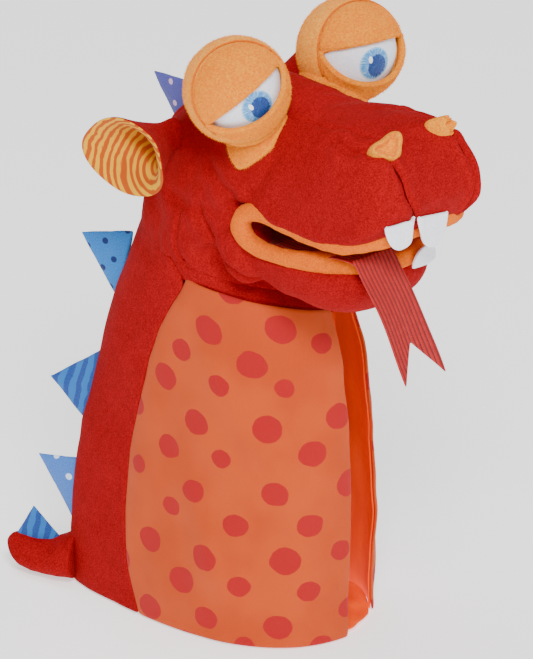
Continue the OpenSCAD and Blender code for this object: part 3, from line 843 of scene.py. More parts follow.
def split_head():
    """Cuts the head's surface into the head's skin and the jaw's, with their edges turned in."""
    bm = bmesh.new()
    bm.from_mesh(head_form.data)

    def cut(point, normal):
        bmesh.ops.bisect_plane(bm, geom=bm.verts[:] + bm.edges[:] + bm.faces[:], dist=1e-7,
                               plane_co=[c * MM for c in point], plane_no=normal)

    cut((0, 0, NECK_CUT), (0, -TILT, 1))
    cut((0, JAW_BACK, 0), (0, 1, 0))
    cut((0, 0, JAW_LINE), (0, 0, 1))
    centres = np.array([f.calc_center_median()[:] for f in bm.faces]) / MM
    above = centres[:, 2] - TILT * centres[:, 1] > NECK_CUT
    jaw = above & (centres[:, 1] < JAW_BACK) & (centres[:, 2] < JAW_LINE)
    parts = []
    for name, keep in (("head_velour", above & ~jaw), ("jaw_velour", jaw)):
        part = bm.copy()
        part.faces.ensure_lookup_table()
        bmesh.ops.delete(part, geom=[part.faces[i] for i in np.nonzero(~keep)[0]], context="FACES")
        part.normal_update()
        rim = [e for e in part.edges if e.is_boundary]
        normals = {v: v.normal.copy() for e in rim for v in e.verts}
        for v in bmesh.ops.extrude_edge_only(part, edges=rim)["geom"]:
            if isinstance(v, bmesh.types.BMVert):
                near = min((e.other_vert(v) for e in v.link_edges if e.other_vert(v) in normals),
                           key=lambda w: (w.co - v.co).length, default=None)
                if near is not None:
                    v.co -= normals[near] * TURN_IN * MM
        obj = make(name, np.zeros((0, 3)), [], [RED])
        part.to_mesh(obj.data)
        part.free()
        obj.data.shade_smooth()
        set_coordinates(obj, to_row(coordinates(obj)))
        parts.append(obj)
    bm.free()
    return parts


head_velour, jaw_velour = split_head()


def stitch_nose(radius=0.36):
    """Dark stitching that lies in the seams of the snout."""
    solids = []
    for curve in NOSE_SEAMS.values():
        path = laid_on(head_tree, spline(np.array(curve, float), 60))
        for _ in range(60):
            path[1:-1] = 0.25 * path[:-2] + 0.5 * path[1:-1] + 0.25 * path[2:]
        step = np.linspace(0, 1, 60)
        solids.append(capsule(path, radius * (0.4 + 0.6 * np.sin(np.pi * step) ** 0.3), 8))
    points, faces = joined(solids)
    settle(make("nose_seams", to_row(points), faces, [THREAD]), body="head")


stitch_nose()
settle(head_velour, "head_side_right head_side_left head_top_panel neck_tube")
blend_band(head_velour, "neck", "head", NECK_CUT, 212, TURN)
settle(jaw_velour, "jaw_shell")
row_metres(0, JAW_BACK, 215)
row_metres(0, -64, 215)
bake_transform(jaw_velour)


# ---- The sleeve's cloth ---------------------------------------------------------------------
belly_top_of = table((0, 175.5), (15, 175.5), (45, 181), (75, 186), (101, 190.5))
SEAM_TOP, SPINE = 101, 179.6     # angles of the belly's seam at its top, and just short of the spine
NECK_BAND = (188, 196.5)         # heights of the band between the sleeve's cloth and the neck's, passed to blend_band, which blends nothing


def skin_point(angle, z):
    """A point of the velour, which above z 150 lies on the head's and neck's surface."""
    out = column_points(angle, z)
    for index in np.ndindex(out.shape[:-1]):
        q = out[index].copy()
        share = float(smoothstep(148, 164, q[2]))
        if share > 0:
            centre = np.array([0, -4, q[2]])
            away = unit(q - centre)
            hit = on_head(to_head(centre + away * 140), to_head(-away))
            if hit is not None and np.linalg.norm(to_row(hit) - q) < 14:
                out[index] = q + share * (to_row(hit) - q)
    return out


def velour_wave(grid, angle, z, seed):
    """Soft dents and folds, as a distance along the normal."""
    wave = fractal(grid, 42, seed, 2) + 0.4 * fractal(grid, 15, seed + 1, 2)
    pucker = np.exp(-np.abs(np.abs(angle) - seam_of(z)) / 5.0)
    wave += 0.9 * pucker * fractal(np.stack([z, np.abs(angle) * 0.1, z * 0], -1), 9, seed + 2, 2)
    wave += 0.5 * (1 - smoothstep(0, 10, z)) * np.sin(z * 0.9)
    return wave * (1 - 0.75 * smoothstep(150, 166, z))


def velour_panel(name, angle, z, seed, nodes, out, tuck):
    """A panel of the sleeve's velour; tuck is how far it sinks below the surface."""
    grid = skin_point(angle, z)
    normals = normals_towards(grid, out)
    inset = -VELOUR_T / 2 - tuck
    grid = grid + normals * (velour_wave(grid, angle, z, seed) + inset)[..., None]
    obj = settle(panel(name, grid, VELOUR_T, [RED, DARK], outward=out), nodes)
    blend_band(obj, "sleeve", "neck", *NECK_BAND, 0)


def neck_edge(angle):
    """Height of the cut between the sleeve's velour and the head's, at this angle."""
    z = np.full(np.shape(angle), 198.0)
    for _ in range(6):
        z = NECK_CUT + TILT * to_head(column_points(angle, z))[..., 1]
    return z


def back_velour(side):
    cols = 34
    v, u = sheet_grid(58, cols, 0)
    top = neck_edge(side * np.linspace(SEAM_TOP, SPINE, cols))[None, :] + 3.0
    z = v * top
    edge = seam_of(z) + 0.15
    angle = edge + (SPINE - edge) * u
    tuck = 0.6 * smoothstep(-6, -2, z - top)
    velour_panel("back_velour_" + WORD[side], side * angle, z, 20 + side, "back_panel_" + WORD[side],
                 (side, 0.4, 0), tuck)


def collar_velour():
    """The velour between the belly's top edge and the chin, from seam to seam."""
    cols = 60
    v, u = sheet_grid(9, cols)
    low = belly_top_of(np.abs(u) * SEAM_TOP) - 2.2
    top = neck_edge(np.linspace(-1, 1, cols) * 100)[None, :] + 3.0
    z = low + v * (top - low)
    angle = u * (seam_of(z) + 1.6)
    tuck = 0.6 * smoothstep(-6, -2, z - top) + 1.9 * (1 - smoothstep(0.6, 3.0, z - low))
    tuck = np.maximum(tuck, 1.5 * smoothstep(0.955, 0.985, np.abs(u)))
    tuck = tuck + 4.2 * bell(z, 189, 8.5) * (1 - smoothstep(35, 78, np.abs(angle)))
    velour_panel("collar_velour", angle, z, 31, "", (0, -1, 0), tuck)


back_velour(-1)
back_velour(1)
collar_velour()


def belly_grid(side, low, inset, cols):
    """The belly's cloth from the slit's edge, at angle low, to the seam."""
    rows, seed, slit_wave = 56, 40 + side, 0.0 if side < 0 else 0.9
    v, u = sheet_grid(rows, cols, 0)
    top = belly_top_of(low + (SEAM_TOP - low) * u)
    z = v * top
    edge = seam_of(z) + 1.3
    angle = low + (edge - low) * u
    angle = angle + slit_wave * (1 - smoothstep(0, 0.2, u)) * np.sin(z / 9.5 + seed) * smoothstep(0, 40, z)
    grid = sleeve_point(side * angle, z, inset)
    normals = normals_towards(grid, (side, -1, 0))
    wave = 2.9 * fractal(grid * (1, 1, 0.55), 50, seed, 2) + 0.8 * fractal(grid, 19, seed + 3, 2)
    pucker = np.exp(-(edge - angle) / 4.0)
    wave += 1.3 * pucker * fractal(np.stack([z, z * 0, z * 0], -1), 8, seed + 4, 2)
    gather = np.exp(-(top - z) / 11.0)
    wave += 1.5 * gather * fractal(np.stack([angle * 1.1, z * 0.15, z * 0], -1), 9, seed + 5, 2)
    # Two slanting folds, each from its highest point down.
    for high, top_at, low_at, width, rise in ((158, 88, 34, 9.0, 2.4), (96, 96, 60, 7.0, 1.8)):
        t = (z - high + 95) / 95
        off = angle - (low_at + (top_at - low_at) * t) - (5 if side > 0 else 0)
        wave += rise * bell(off, 0, width) * smoothstep(0.0, 0.3, t) * (1 - smoothstep(0.75, 1.05, t))
    wave *= smoothstep(-2, 8, z) * 0.6 + 0.4
    wave *= 1 - 0.85 * smoothstep(edge - 9, edge - 2, angle)
    wave -= 1.5 * smoothstep(edge - 1.9, edge - 1.0, angle)
    grid = grid + normals * wave[..., None]
    steps = np.linalg.norm(np.diff(grid[:, :, :2], axis=1), axis=-1)
    arc = np.concatenate([np.zeros((rows, 1)), np.cumsum(steps, 1)], 1)
    return grid, np.stack([side * (arc + 14), z, z * 0], -1)


def belly(side):
    """The printed side, and the satin that faces the flap by the slit."""
    word = WORD[side]
    grid, cloth = belly_grid(side, 15, 0.7, 40)
    front = panel("belly_print_" + word, grid, COTTON_T, [PRINT, SATIN], cloth, outward=(side, -1, 0))
    settle(front, f"belly_side_{word} belly_flap_{word}")
    facing, _ = belly_grid(side, 14.7, 2.1, 20)
    facing = panel("flap_satin_" + word, facing[:55, :11], LINING_T, [SATIN], outward=(-side, 1, 0))
    settle(facing, f"flap_facing_{word}")
    across = unit((side * -18.0, -31.0))
    gradient = np.array([*across / 30, -1.2 / 174])
    for obj in (front, facing):
        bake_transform(obj)


belly(-1)
belly(1)


# ---- Lips -----------------------------------------------------------------------------------
# x, y, z, half height, half thickness, from the middle of the upper lip round one corner.
LIP_PATH = [(0, -140.6, 247.4, 6.2, 4.0), (-14, -139.8, 246.8, 6.2, 4.0), (-26, -136.4, 245.2, 5.8, 4.0),
            (-34.4, -128.5, 242.4, 5.3, 4.0), (-38.2, -116, 239.8, 4.9, 4.0), (-38.6, -96, 239.8, 4.9, 4.0),
            (-38.8, -76, 241.4, 4.7, 4.0), (-39.6, -63, 242.2, 4.7, 4.2), (-40.8, -55.2, 239.0, 4.8, 4.4),
            (-41.0, -52.8, 231.6, 4.9, 4.6), (-39.6, -57.0, 225.0, 4.6, 4.6), (-37.6, -68, 221.8, 4.1, 4.2),
            (-36.2, -82, 221.7, 4.3, 4.0), (-34.2, -93, 222.9, 5.4, 3.8), (-31.2, -102, 223.4, 5.9, 3.8),
            (-25.5, -112, 223.0, 5.0, 3.8), (-15.5, -120.3, 222.8, 4.8, 3.8), (0, -123.3, 222.8, 4.8, 3.8)]


def lips():
    """One rolled band of velour round the whole mouth."""
    right = np.array(LIP_PATH, float)
    left = right[-2:0:-1] * (-1, 1, 1, 1, 1)
    path = spline(np.concatenate([right, left]), 220, closed=True)
    centre, high, thick = path[:, :3], path[:, 3, None], path[:, 4, None]
    along = unit(np.roll(centre, -1, 0) - np.roll(centre, 1, 0))
    out = unit(np.stack([centre[:, 0] / 40, np.minimum(0, (centre[:, 1] + 108) / 30), centre[:, 0] * 0], 1))
    across = unit(np.cross(along, out))
    out = np.cross(across, along)
    a = circle(18)
    swell = 1 + 0.05 * fractal(centre, 16, 61, 2)[:, None]
    points = (centre[:, None] + (thick * swell * signed(np.cos(a), 0.85))[..., None] * out[:, None]
              + (high * swell * signed(np.sin(a), 0.75))[..., None] * across[:, None])
    rows, cols = points.shape[:2]
    flat = points.reshape(-1, 3)
    flat = flat + 0.5 * unit(flat - np.repeat(centre, cols, 0)) * fractal(flat, 7, 62, 2)[:, None]
    obj = make("lip_band", to_row(flat), ring_quads(rows, cols), [LIP])
    settle(obj, "upper_lip lower_lip")
    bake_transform(obj)


def mouth_sheet(name, z, half, back, bend, front, node, body, up):
    """A flat lining that narrows to a half round from y bend to y front."""
    v, u = sheet_grid(26, 20)
    y = back + (front - back) * v
    reach = np.sqrt(np.clip(1 - np.clip((bend - y) / (bend - front), 0, 1) ** 2, 0.003, 1))
    x = half * u * reach
    grid = np.stack([x, y, z + 0.8 * fractal(np.stack([x, y, y * 0], -1), 14, 70, 2)], -1)
    settle(panel(name, to_row(grid), LINING_T, [DARK], outward=(0, 0, up)), node, body)


lips()
mouth_sheet("mouth_roof", 243.2, 37.5, -45, -98, -138.5, "palate", "head", -1)
mouth_sheet("mouth_bed", 221.2, 34.5, -50, -88, -119.5, "mouth_floor", "jaw", 1)


# ---- Teeth ----------------------------------------------------------------------------------
LIP_FRONT = table((0, -145.2), (14, -144.4), (26, -141.0), (34.4, -133.0))


def upper_tooth(name, left, right, drop):
    """A felt half moon; its straight edge lies on the velour just above the lip."""
    left, right = np.array(left, float), np.array(right, float)
    rows, cols = 14, 21
    grid = np.zeros((rows, cols, 3))
    for j, u in enumerate(np.linspace(-1, 1, cols)):
        x, z = left + (right - left) * (u + 1) / 2
        edge = float(on_head((x, -220, z), (0, 1, 0))[1]) - 0.7
        lip = float(LIP_FRONT(abs(x))) - 0.6
        depth = drop * (1 - abs(u) ** 2.2) ** 0.55
        for i, v in enumerate(np.linspace(0, 1, rows)):
            w = float(smoothstep(0, 0.5, v))
            grid[i, j] = (x, (1 - w) * edge + w * min(edge, lip) + 0.8 * v * v, z - v * depth)
    obj = panel(name, to_row(grid), FELT_T, [FELT], outward=to_row((-0.2, -1, 0)))
    settle(obj, "upper_teeth", "head")


def lower_tooth(name, centre, turn, half, rise):
    """A felt half moon that stands on the lip."""
    r, a = np.meshgrid(np.linspace(0.02, 1, 12), np.linspace(0, np.pi, 22), indexing="ij")
    x, z = half * r * np.cos(a), rise * r * np.sin(a)
    y = 1.6 * (x / half) ** 2 - 0.5 * (z / rise) ** 2
    t = np.radians(turn)
    grid = np.stack([x * np.cos(t) - y * np.sin(t), x * np.sin(t) + y * np.cos(t), z], -1) + np.array(centre)
    obj = panel(name, to_row(grid), FELT_T, [FELT], outward=to_row((math.sin(t), -math.cos(t), 0)))
    settle(obj, "lower_teeth", "jaw")


upper_tooth("upper_tooth_right", (-33.4, 255.6), (-14.6, 256.6), 14.6)
upper_tooth("upper_tooth_left", (-13.4, 256.4), (9.6, 252.4), 18.0)
lower_tooth("lower_tooth_left", (14.5, -128.0, 217.4), 8, 9.6, 11.0)
lower_tooth("lower_tooth_right", (-13.0, -125.4, 216.6), -8, 9.6, 5.5)


# ---- Tongue ---------------------------------------------------------------------------------
TONGUE_X, TONGUE_W, TONGUE_L = -18.5, 28, 66
TONGUE_Y = 4.5                   # how far behind its hinge line the ribbon bends


def tongue_end():
    """The free end: a ribbon with a V cut in it, in its own frame, then hung from the lip."""
    v, u = sheet_grid(34, 21)
    length = TONGUE_L * (1 - 0.32 * (1 - np.abs(u)))
    s = -2 + v * (length + 2)
    x = TONGUE_W / 2 * u
    t = np.radians(57)
    curl = 2.2 * np.sin(s / 21.0) + 0.9 * np.sin(s / 9 + u) * (s / TONGUE_L) + 1.0 * u**2 * np.sin(s / 30)
    y = TONGUE_Y - 128.2 - s * np.cos(t) - curl * np.sin(t)
    z = 228.1 - s * np.sin(t) + curl * np.cos(t) + 1.2 * np.exp(-(s / 6) ** 2)
    grid = np.stack([TONGUE_X + x, y, z], -1)
    obj = panel("tongue_ribbon", to_row(grid), RIBBON_T, [RIBBON], np.stack([x, s, s * 0], -1),
                outward=to_row((0, -0.8, 0.5)))
    settle(obj, "tongue")
    row_metres(TONGUE_X, TONGUE_Y - 127.0, 228.6)
    row_metres(TONGUE_X, TONGUE_Y - 131.5, 223.5)
    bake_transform(obj)


def tongue_start():
    """The sewn end, from the back of the mouth's floor over the lower lip."""
    run = spline([(-66, 222.9), (-80, 223.0), (-92, 224.6), (-102, 227.2), (-113, 229.0), (-121.5, 229.2),
                  (-124.1, 228.4)], 26)
    v, u = np.meshgrid(np.arange(26), np.linspace(-1, 1, 15), indexing="ij")
    grid = np.stack([TONGUE_X + TONGUE_W / 2 * u, run[v, 0], run[v, 1] + 0.5 * np.cos(u * 2.2)], -1)
    s = -66 - run[v, 0]
    obj = panel("tongue_base", to_row(grid), RIBBON_T, [RIBBON], np.stack([TONGUE_W / 2 * u, s, s * 0], -1),
                outward=(0, 0, 1))
    settle(obj, "tongue_root", "jaw")


tongue_end()
tongue_start()


# ---- Eyes -----------------------------------------------------------------------------------
EYE_R, BALL_R, LID_CORNER, EYE_CUT, EYE_LEAN = 27.0, 23.5, 10.0, 20.0, math.radians(33)
EYE_AT = {-1: (-40, -49, 304), 1: (40, -49, 304)}
EYE_YAW, EYE_DROOP = {-1: -32, 1: -12}, {-1: -36, 1: 0}
LID_R = (EYE_R + BALL_R + 0.5) / 2 + 0.15
LID_COLS, IRIS_R = 34, 8.6
LID_OPEN, LID_LIFT, IRIS_DROP = {-1: 50, 1: 62}, {-1: -1, 1: 4}, {-1: 24, 1: 17}


def turned(p, axis, degrees):
    """Points turned round an axis."""
    t = np.radians(degrees)
    c, s = np.cos(t), np.sin(t)
    x, y, z = np.moveaxis(p, -1, 0)
    if axis == "x":
        return np.stack([x, y * c - z * s, y * s + z * c], -1)
    if axis == "y":
        return np.stack([x * c + z * s, y, z * c - x * s], -1)
    return np.stack([x * c - y * s, x * s + y * c, z], -1)


def eye_axis(side):
    """Out of the head, through the middle of the eye's sewn base."""
    return np.array([side * math.sin(EYE_LEAN), 0, math.cos(EYE_LEAN)])


def eye_place(p, side, cut=EYE_CUT):
    """From the lids' frame to the head's, pressed flat where the eye is sewn on."""
    p = turned(turned(turned(p, "y", EYE_DROOP[side]), "x", -16), "z", EYE_YAW[side])
    axis = eye_axis(side)
    below = np.minimum(0, p @ axis + cut)
    return p - below[..., None] * axis + np.array(EYE_AT[side])


def lid_arc(angle, radius, lift, count):
    """The arc from one corner of the lids to the other, in the plane at angle above level."""
    t = math.radians(angle)
    d = np.array([0, -math.cos(t), math.sin(t)])
    corner = np.array([0, -LID_CORNER, lift])
    centre = corner - (corner @ d) * d
    rho = math.sqrt(max(radius**2 - centre @ centre, 1))
    first = math.asin(max(-1, min(1, (corner @ d) / rho)))
    theta = np.linspace(first, math.pi - first, count)
    return centre + rho * (np.cos(theta)[:, None] * np.array([1, 0, 0]) + np.sin(theta)[:, None] * d)


def plush_wave(grid, seed, size=9, depth=0.35):
    n = unit(grid - grid.reshape(-1, 3).mean(0))
    return grid + n * (depth * fractal(grid, size, seed, 2))[..., None]


def eye_ball(side):
    rings = []
    a = circle(40)
    for v in np.linspace(0.02, 0.98, 30):
        r, z = BALL_R * math.sin(math.pi * v), -BALL_R * math.cos(math.pi * v)
        rings.append(np.stack([r * np.cos(a), np.full(40, z), r * np.sin(a)], 1))
    points, faces = loft(rings)
    points = to_row(eye_place(plush_wave(points, 80 + side, 12, 0.15), side, EYE_CUT - 0.3))
    obj = subdivide(make("eye_felt_" + WORD[side], points, faces, [WHITE]))
    settle(obj, "eye_ball_" + WORD[side], "head")


def iris(side):
    """An embroidered round on the ball; its middle is one face."""
    r, a = np.meshgrid(np.linspace(0.02, 1, 12), circle(40), indexing="ij")
    x, z = IRIS_R * r * np.cos(a), IRIS_R * r * np.sin(a)
    dome = np.stack([x, -np.sqrt((BALL_R + 0.35 * (1 - r**6)) ** 2 - x**2 - z**2) + 0.02, z], -1)
    points = to_row(eye_place(turned(dome, "x", IRIS_DROP[side]), side)).reshape(-1, 3)
    obj = make("iris_patch_" + WORD[side], points, grid_quads(12, 40, True) + [tuple(range(40))], [IRIS],
               cloth=np.stack([x, z, r * 0], -1))
    settle(obj, "iris_" + WORD[side], "head")


def lids(side):
    lift = LID_LIFT[side]
    upper = np.stack([lid_arc(t, LID_R, lift, LID_COLS) for t in np.linspace(0.6, 90, 18)])
    rows = np.arange(18)[:, None, None]
    upper = upper * (1 + 0.034 * np.exp(-rows / 1.3))
    upper = upper * (1 - 0.035 * np.exp(-(17 - rows) / 0.9))
    lower = np.stack([lid_arc(-t, LID_R, lift, LID_COLS) for t in np.linspace(LID_OPEN[side], 90, 12)])
    lower = lower * (1 + 0.075 * np.exp(-np.arange(12)[:, None, None] / 1.6))
    for kind, grid in (("upper", upper), ("lower", lower)):
        grid = plush_wave(grid, 84 + side, 8, 0.35)
        placed, middle = to_row(eye_place(grid, side)), to_row(eye_place(np.zeros(3), side))
        out = placed[len(placed) // 2, LID_COLS // 2] - middle
        obj = panel(f"{kind}_lid_{WORD[side]}", placed, PLUSH_T, [PLUSH], outward=out)
        settle(obj, f"eyelid_{kind}_{WORD[side]}", "head")


def eye_cup(side):
    """The plush round the back of the eye, and the seam where the lids meet it."""
    v, a = tube_grid(18, 44)
    polar = math.acos(LID_CORNER / LID_R)
    angle = polar + (math.pi - 0.03 - polar) * v
    r = LID_R * np.sin(angle)
    cup = np.stack([r * np.cos(a), -LID_R * np.cos(angle), r * np.sin(a)], -1)
    cup = cup + unit(cup) * (-1.5 * np.exp(-v * 17 / 0.8))[..., None]
    cup = plush_wave(cup, 88 + side, 10, 0.4)
    # The cup wears the paler copy of the plush: painted light on the eye's back and top.
    obj = panel("eye_cup_" + WORD[side], to_row(eye_place(cup, side)), PLUSH_T, [PLUSH_PAINTED_LIGHT], wrap=True)
    settle(obj, "eye_back_" + WORD[side], "head")
    ring = np.linspace(-0.35, math.pi + 0.35, 60)
    rho = math.sqrt(EYE_R**2 - LID_CORNER**2)
    arc = np.stack([rho * np.cos(ring), np.full(60, -LID_CORNER + 0.2), rho * np.sin(ring)], 1)
    points, faces = capsule(to_row(eye_place(arc, side)), np.full(60, 0.5), 8)
    settle(make("eye_seam_" + WORD[side], points, faces, [SEAM]), body="head")


def eye_collar(side):
    """A soft roll between the eye and the head."""
    axis = eye_axis(side)
    e1 = unit(np.cross(axis, (0, 1, 0)))
    e2 = np.cross(axis, e1)
    if e1[2] > 0:
        e1 = -e1
    rings = []
    a = circle(14)[:, None]
    for t in circle(48):
        d = math.cos(t) * e1 + math.sin(t) * e2
        reach = 14.5 + 0.6 * max(0.0, math.cos(t)) ** 10
        centre = np.array(EYE_AT[side]) + d * reach - axis * (EYE_CUT + 0.6)
        radius = 3.9 + 0.35 * float(fractal(centre[None], 8, 90, 2)[0])
        rings.append(centre + radius * (np.cos(a) * d + np.sin(a) * axis))
    obj = make("eye_collar_" + WORD[side], to_row(np.concatenate(rings)), ring_quads(48, 14), [PLUSH])
    settle(obj, "eye_base_" + WORD[side], "head")


def eye_gusset(side):
    """The pointed flap from the eye down the cheek."""
    v, u = sheet_grid(14, 15)
    width = 18.5 * np.minimum(1, (1 - v) / 0.52) ** 0.8 + 0.8
    y = -48 - 3.0 * v + width * u
    z = 289 - 27.0 * v + 3 * (1 - v) * (1 - u**2)
    puff = 0.9 + 1.2 * (1 - u**2) * (1 - v)
    grid = np.zeros(v.shape + (3,))
    for index in np.ndindex(v.shape):
        hit = on_head((side * 90, y[index], z[index]), (-side, 0, 0))
        if hit is None:
            hit = laid_on(head_tree, [(side * 42, y[index], z[index])])[0]
        grid[index] = hit + np.array([side * puff[index], 0, 0])
    obj = panel("eye_gusset_" + WORD[side], to_row(grid), 2.2, [PLUSH], outward=to_row((side, 0, 0)))
    settle(obj, body="head")


for side in (-1, 1):
    for piece in (eye_ball, iris, lids, eye_cup, eye_collar, eye_gusset):
        piece(side)


# ---- Ears -----------------------------------------------------------------------------------
EAR_BASE, EAR_RIM = np.array([33.5, 7, 262]), np.array([65, 6, 260])
EAR_LONG, EAR_SHORT = np.array([-0.326, -0.692, -0.639]), np.array([0.17, 0.63, -0.757])
EAR_BASE_LONG = np.array([0, -0.735, -0.678])
EAR_SIZE = 24


def ear_ring(inset, share):
    """One ring of the ear's cup: share is 0 at the head and 1 at the rim."""
    a = circle(44)[:, None]
    swell = share**1.35
    long = 8 + (EAR_SIZE - 8) * swell - inset
    short = 5 + (0.84 * EAR_SIZE - 5) * swell - inset
    base = EAR_BASE + (EAR_RIM - EAR_BASE) * share
    d = EAR_BASE_LONG + (EAR_LONG - EAR_BASE_LONG) * share
    wobble = 1 + 0.045 * share * np.sin(3 * a + 0.8) + 0.02 * share * np.sin(5 * a + 2)
    return base + (long * wobble * np.cos(a)) * d + (short * wobble * np.sin(a)) * EAR_SHORT


def ear_cup(rings, side):
    return to_row(plush_wave(np.array(rings), 95, 14, 0.5) * (side, 1, 1))


def ear(side):
    """The velour outside, whose root goes into the head, and the printed lining."""
    outer = ear_cup([ear_ring(0.9, share) for share in np.linspace(0, 0.985, 20)], side)
    inward = to_row(unit(EAR_BASE - EAR_RIM) * (side, 1, 1))
    outer = np.concatenate([[outer[0] + inward * reach for reach in (8.5, 5.5, 2.6)], outer])
    skin = panel("ear_velour_" + WORD[side], outer, 1.7, [RED], wrap=True)
    settle(skin, "ear_outer_" + WORD[side], "ear_" + WORD[side])
    lowest = ear_cup([ear_ring(2.7, 0.2)], side)[0]
    middle = lowest.mean(0)
    rows = [middle + (lowest - middle) * (1 + share / 0.22) for share in np.linspace(-0.215, -0.02, 5)]
    for share in np.linspace(0.0, 1, 20):
        inset = 2.7 - 1.9 * float(smoothstep(0.86, 1.0, share))
        rows.append(ear_cup([ear_ring(inset, 0.2 + 0.81 * share)], side)[0])
    focus = (EAR_RIM + EAR_LONG * 17 + (EAR_BASE - EAR_RIM) * 0.55) * (side, 1, 1)
    away = np.array(rows) - to_row(focus)
    along = away @ to_row(unit(EAR_SHORT) * (side, 1, 1))
    cloth = np.stack([np.linalg.norm(away, axis=-1), along, along * 0], -1)
    inner = panel("ear_print_" + WORD[side], np.array(rows), RIBBON_T, [EAR], cloth, wrap=True)
    settle(inner, "ear_lining_" + WORD[side], "ear_" + WORD[side])


ear(-1)
ear(1)


# ---- Spikes ---------------------------------------------------------------------------------
SPIKE_ROWS, SPIKE_COLS = 22, 16


def spike(name, low, tip, high, material, turn, seed):
    """A stuffed triangle of cotton: low, tip and high are (y, z) in the plane of the spine."""
    low, tip, high = (np.array(q, float) for q in (low, tip, high))
    u = np.concatenate([np.linspace(-1, 1, SPIKE_COLS), np.linspace(1, -1, SPIKE_COLS)[1:-1]])
    face = np.concatenate([np.ones(SPIKE_COLS), -np.ones(SPIKE_COLS - 2)])
    rings, cloth = [], []
    for v in np.linspace(0, 1, SPIKE_ROWS):
        left, right = low + (tip - low) * v, high + (tip - high) * v
        if v > 0.93:
            middle, narrow = (left + right) / 2, 1 - 0.25 * ((v - 0.93) / 0.07)
            left, right = middle + (left - middle) * narrow, middle + (right - middle) * narrow
        size = 0.55 + 0.45 * math.sin(math.pi * min(1, v * 1.6 + 0.2))
        size *= min(1, np.linalg.norm(right - left) / 10)
        puff = 2.0 * (1 - np.abs(u) ** 2.6) * size + 0.45 * (1 - np.abs(u) ** 30)
        line = left + (right - left) * ((u + 1) / 2)[:, None]
        rings.append(np.stack([face * puff, line[:, 0], line[:, 1]], 1))
        cloth.append(np.stack([line[:, 0], line[:, 1], u * 0], 1))
    points, faces = loft(rings)
    bend = 1.3 * fractal(points * (0, 1, 1), 20, seed, 2)
    points[:, 0] += bend * smoothstep(0, 12, np.linalg.norm(points[:, 1:] - (low + high) / 2, axis=1) - 6)
    points += 0.3 * fractal(points, 6, seed + 1, 2)[:, None] * np.array([1, 0.5, 0.5])
    obj = make(name + "_print", to_row(points, turn), faces, [material], cloth=np.concatenate(cloth))
    return settle(subdivide(obj), name)


DOTS_NAVY = spike_cotton("blue_cotton_navy_dots", (0.012, 0.15, 0.46), (0.004, 0.018, 0.12), "dots", 3.2)
STRIPES = spike_cotton("blue_cotton_stripes", (0.004, 0.045, 0.24), (0.018, 0.15, 0.46), "stripes", 6.6)
DOTS_WHITE = spike_cotton("periwinkle_cotton_dots", (0.045, 0.15, 0.48), (0.62, 0.72, 0.95), "dots", 3.4)
DOTS_PINK = spike_cotton("violet_cotton_dots", (0.055, 0.055, 0.28), (0.62, 0.40, 0.60), "dots", 3.0)
PALE = spike_cotton("pale_blue_cotton", (0.07, 0.28, 0.60), (0.35, 0.56, 0.80), "dots", 2.6)


for name, low, tip, high, material in (
        ("spine_spike_upper", 156, (79, 191), 197, DOTS_NAVY),
        ("spine_spike_middle", 86, (97, 109), 131, STRIPES),
        ("spine_spike_lower", 28, (104, 65), 67, DOTS_WHITE)):
    base_low, base_high = ((float(back_of(z)) - 2.5, z) for z in (low, high))
    obj = spike(name, base_low, tip, base_high, material, 0, len(name))
    if name == "spine_spike_upper":
        blend_band(obj, "sleeve", "neck", *NECK_BAND, 0)
    else:
        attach(obj, "sleeve")
for name, front, back, tip, material in (("crest_spike_front", 6, 33, (50, 277), DOTS_PINK),
                                         ("crest_spike_rear", 34, 44, (62, 246), PALE)):
    high, low = ((y, float(crown_of(y)) - 3.0) for y in (front, back))
    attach(spike(name, low, tip, high, material, TURN, len(name) + 7), "head")
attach(spike("tail_spike", (87.5, 16.5), (107.5, 35), (118.5, 16.5), STRIPES, 0, 4), "tail")


# ---- Tail -----------------------------------------------------------------------------------
def tail():
    top = table((0, 23), (0.2, 19.5), (0.5, 18.2), (0.8, 18.8), (0.93, 19), (1, 17.5))
    low = table((0, 0.6), (0.5, 0.6), (0.72, 2.2), (0.88, 6.2), (1, 10.5))
    half = table((0, 15), (0.2, 13.5), (0.5, 12), (0.75, 9), (0.92, 6), (1, 4.2))
    rings = []
    a = circle(36)
    for v in np.concatenate([np.linspace(-0.25, 0.85, 30), np.linspace(0.88, 1, 8)]):
        k = max(v, 0)
        end = math.sqrt(max(0.03, 1 - max(0, (k - 0.84) / 0.16) ** 2))
        z0, z1 = float(low(k)), float(top(k)) + 20 * max(0, -v)
        mid, hz = (z0 + z1) / 2, (z1 - z0) / 2 * end
        x = float(half(k)) * end * signed(np.cos(a), 0.9) * (1 - 0.22 * np.sin(a))
        z = mid + hz * signed(np.sin(a), 0.9)
        rings.append(np.stack([x, np.full(36, 89 + 33 * v), z], 1))
    points, faces = loft(rings)
    wave = 0.9 * fractal(points, 15, 101, 2) + 0.4 * fractal(points, 7, 102, 2)
    centre = np.stack([points[:, 0] * 0, points[:, 1], points[:, 0] * 0 + 9], 1)
    points = points + unit(points - centre) * wave[:, None] * np.minimum(1, np.maximum(points[:, 2:3], 0) / 3)
    points[:, 2] = np.maximum(points[:, 2], 0.4)
    obj = subdivide(make("tail_velour", points, faces, [RED]))
    settle(obj, "tail_cover")
    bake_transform(obj)


tail()


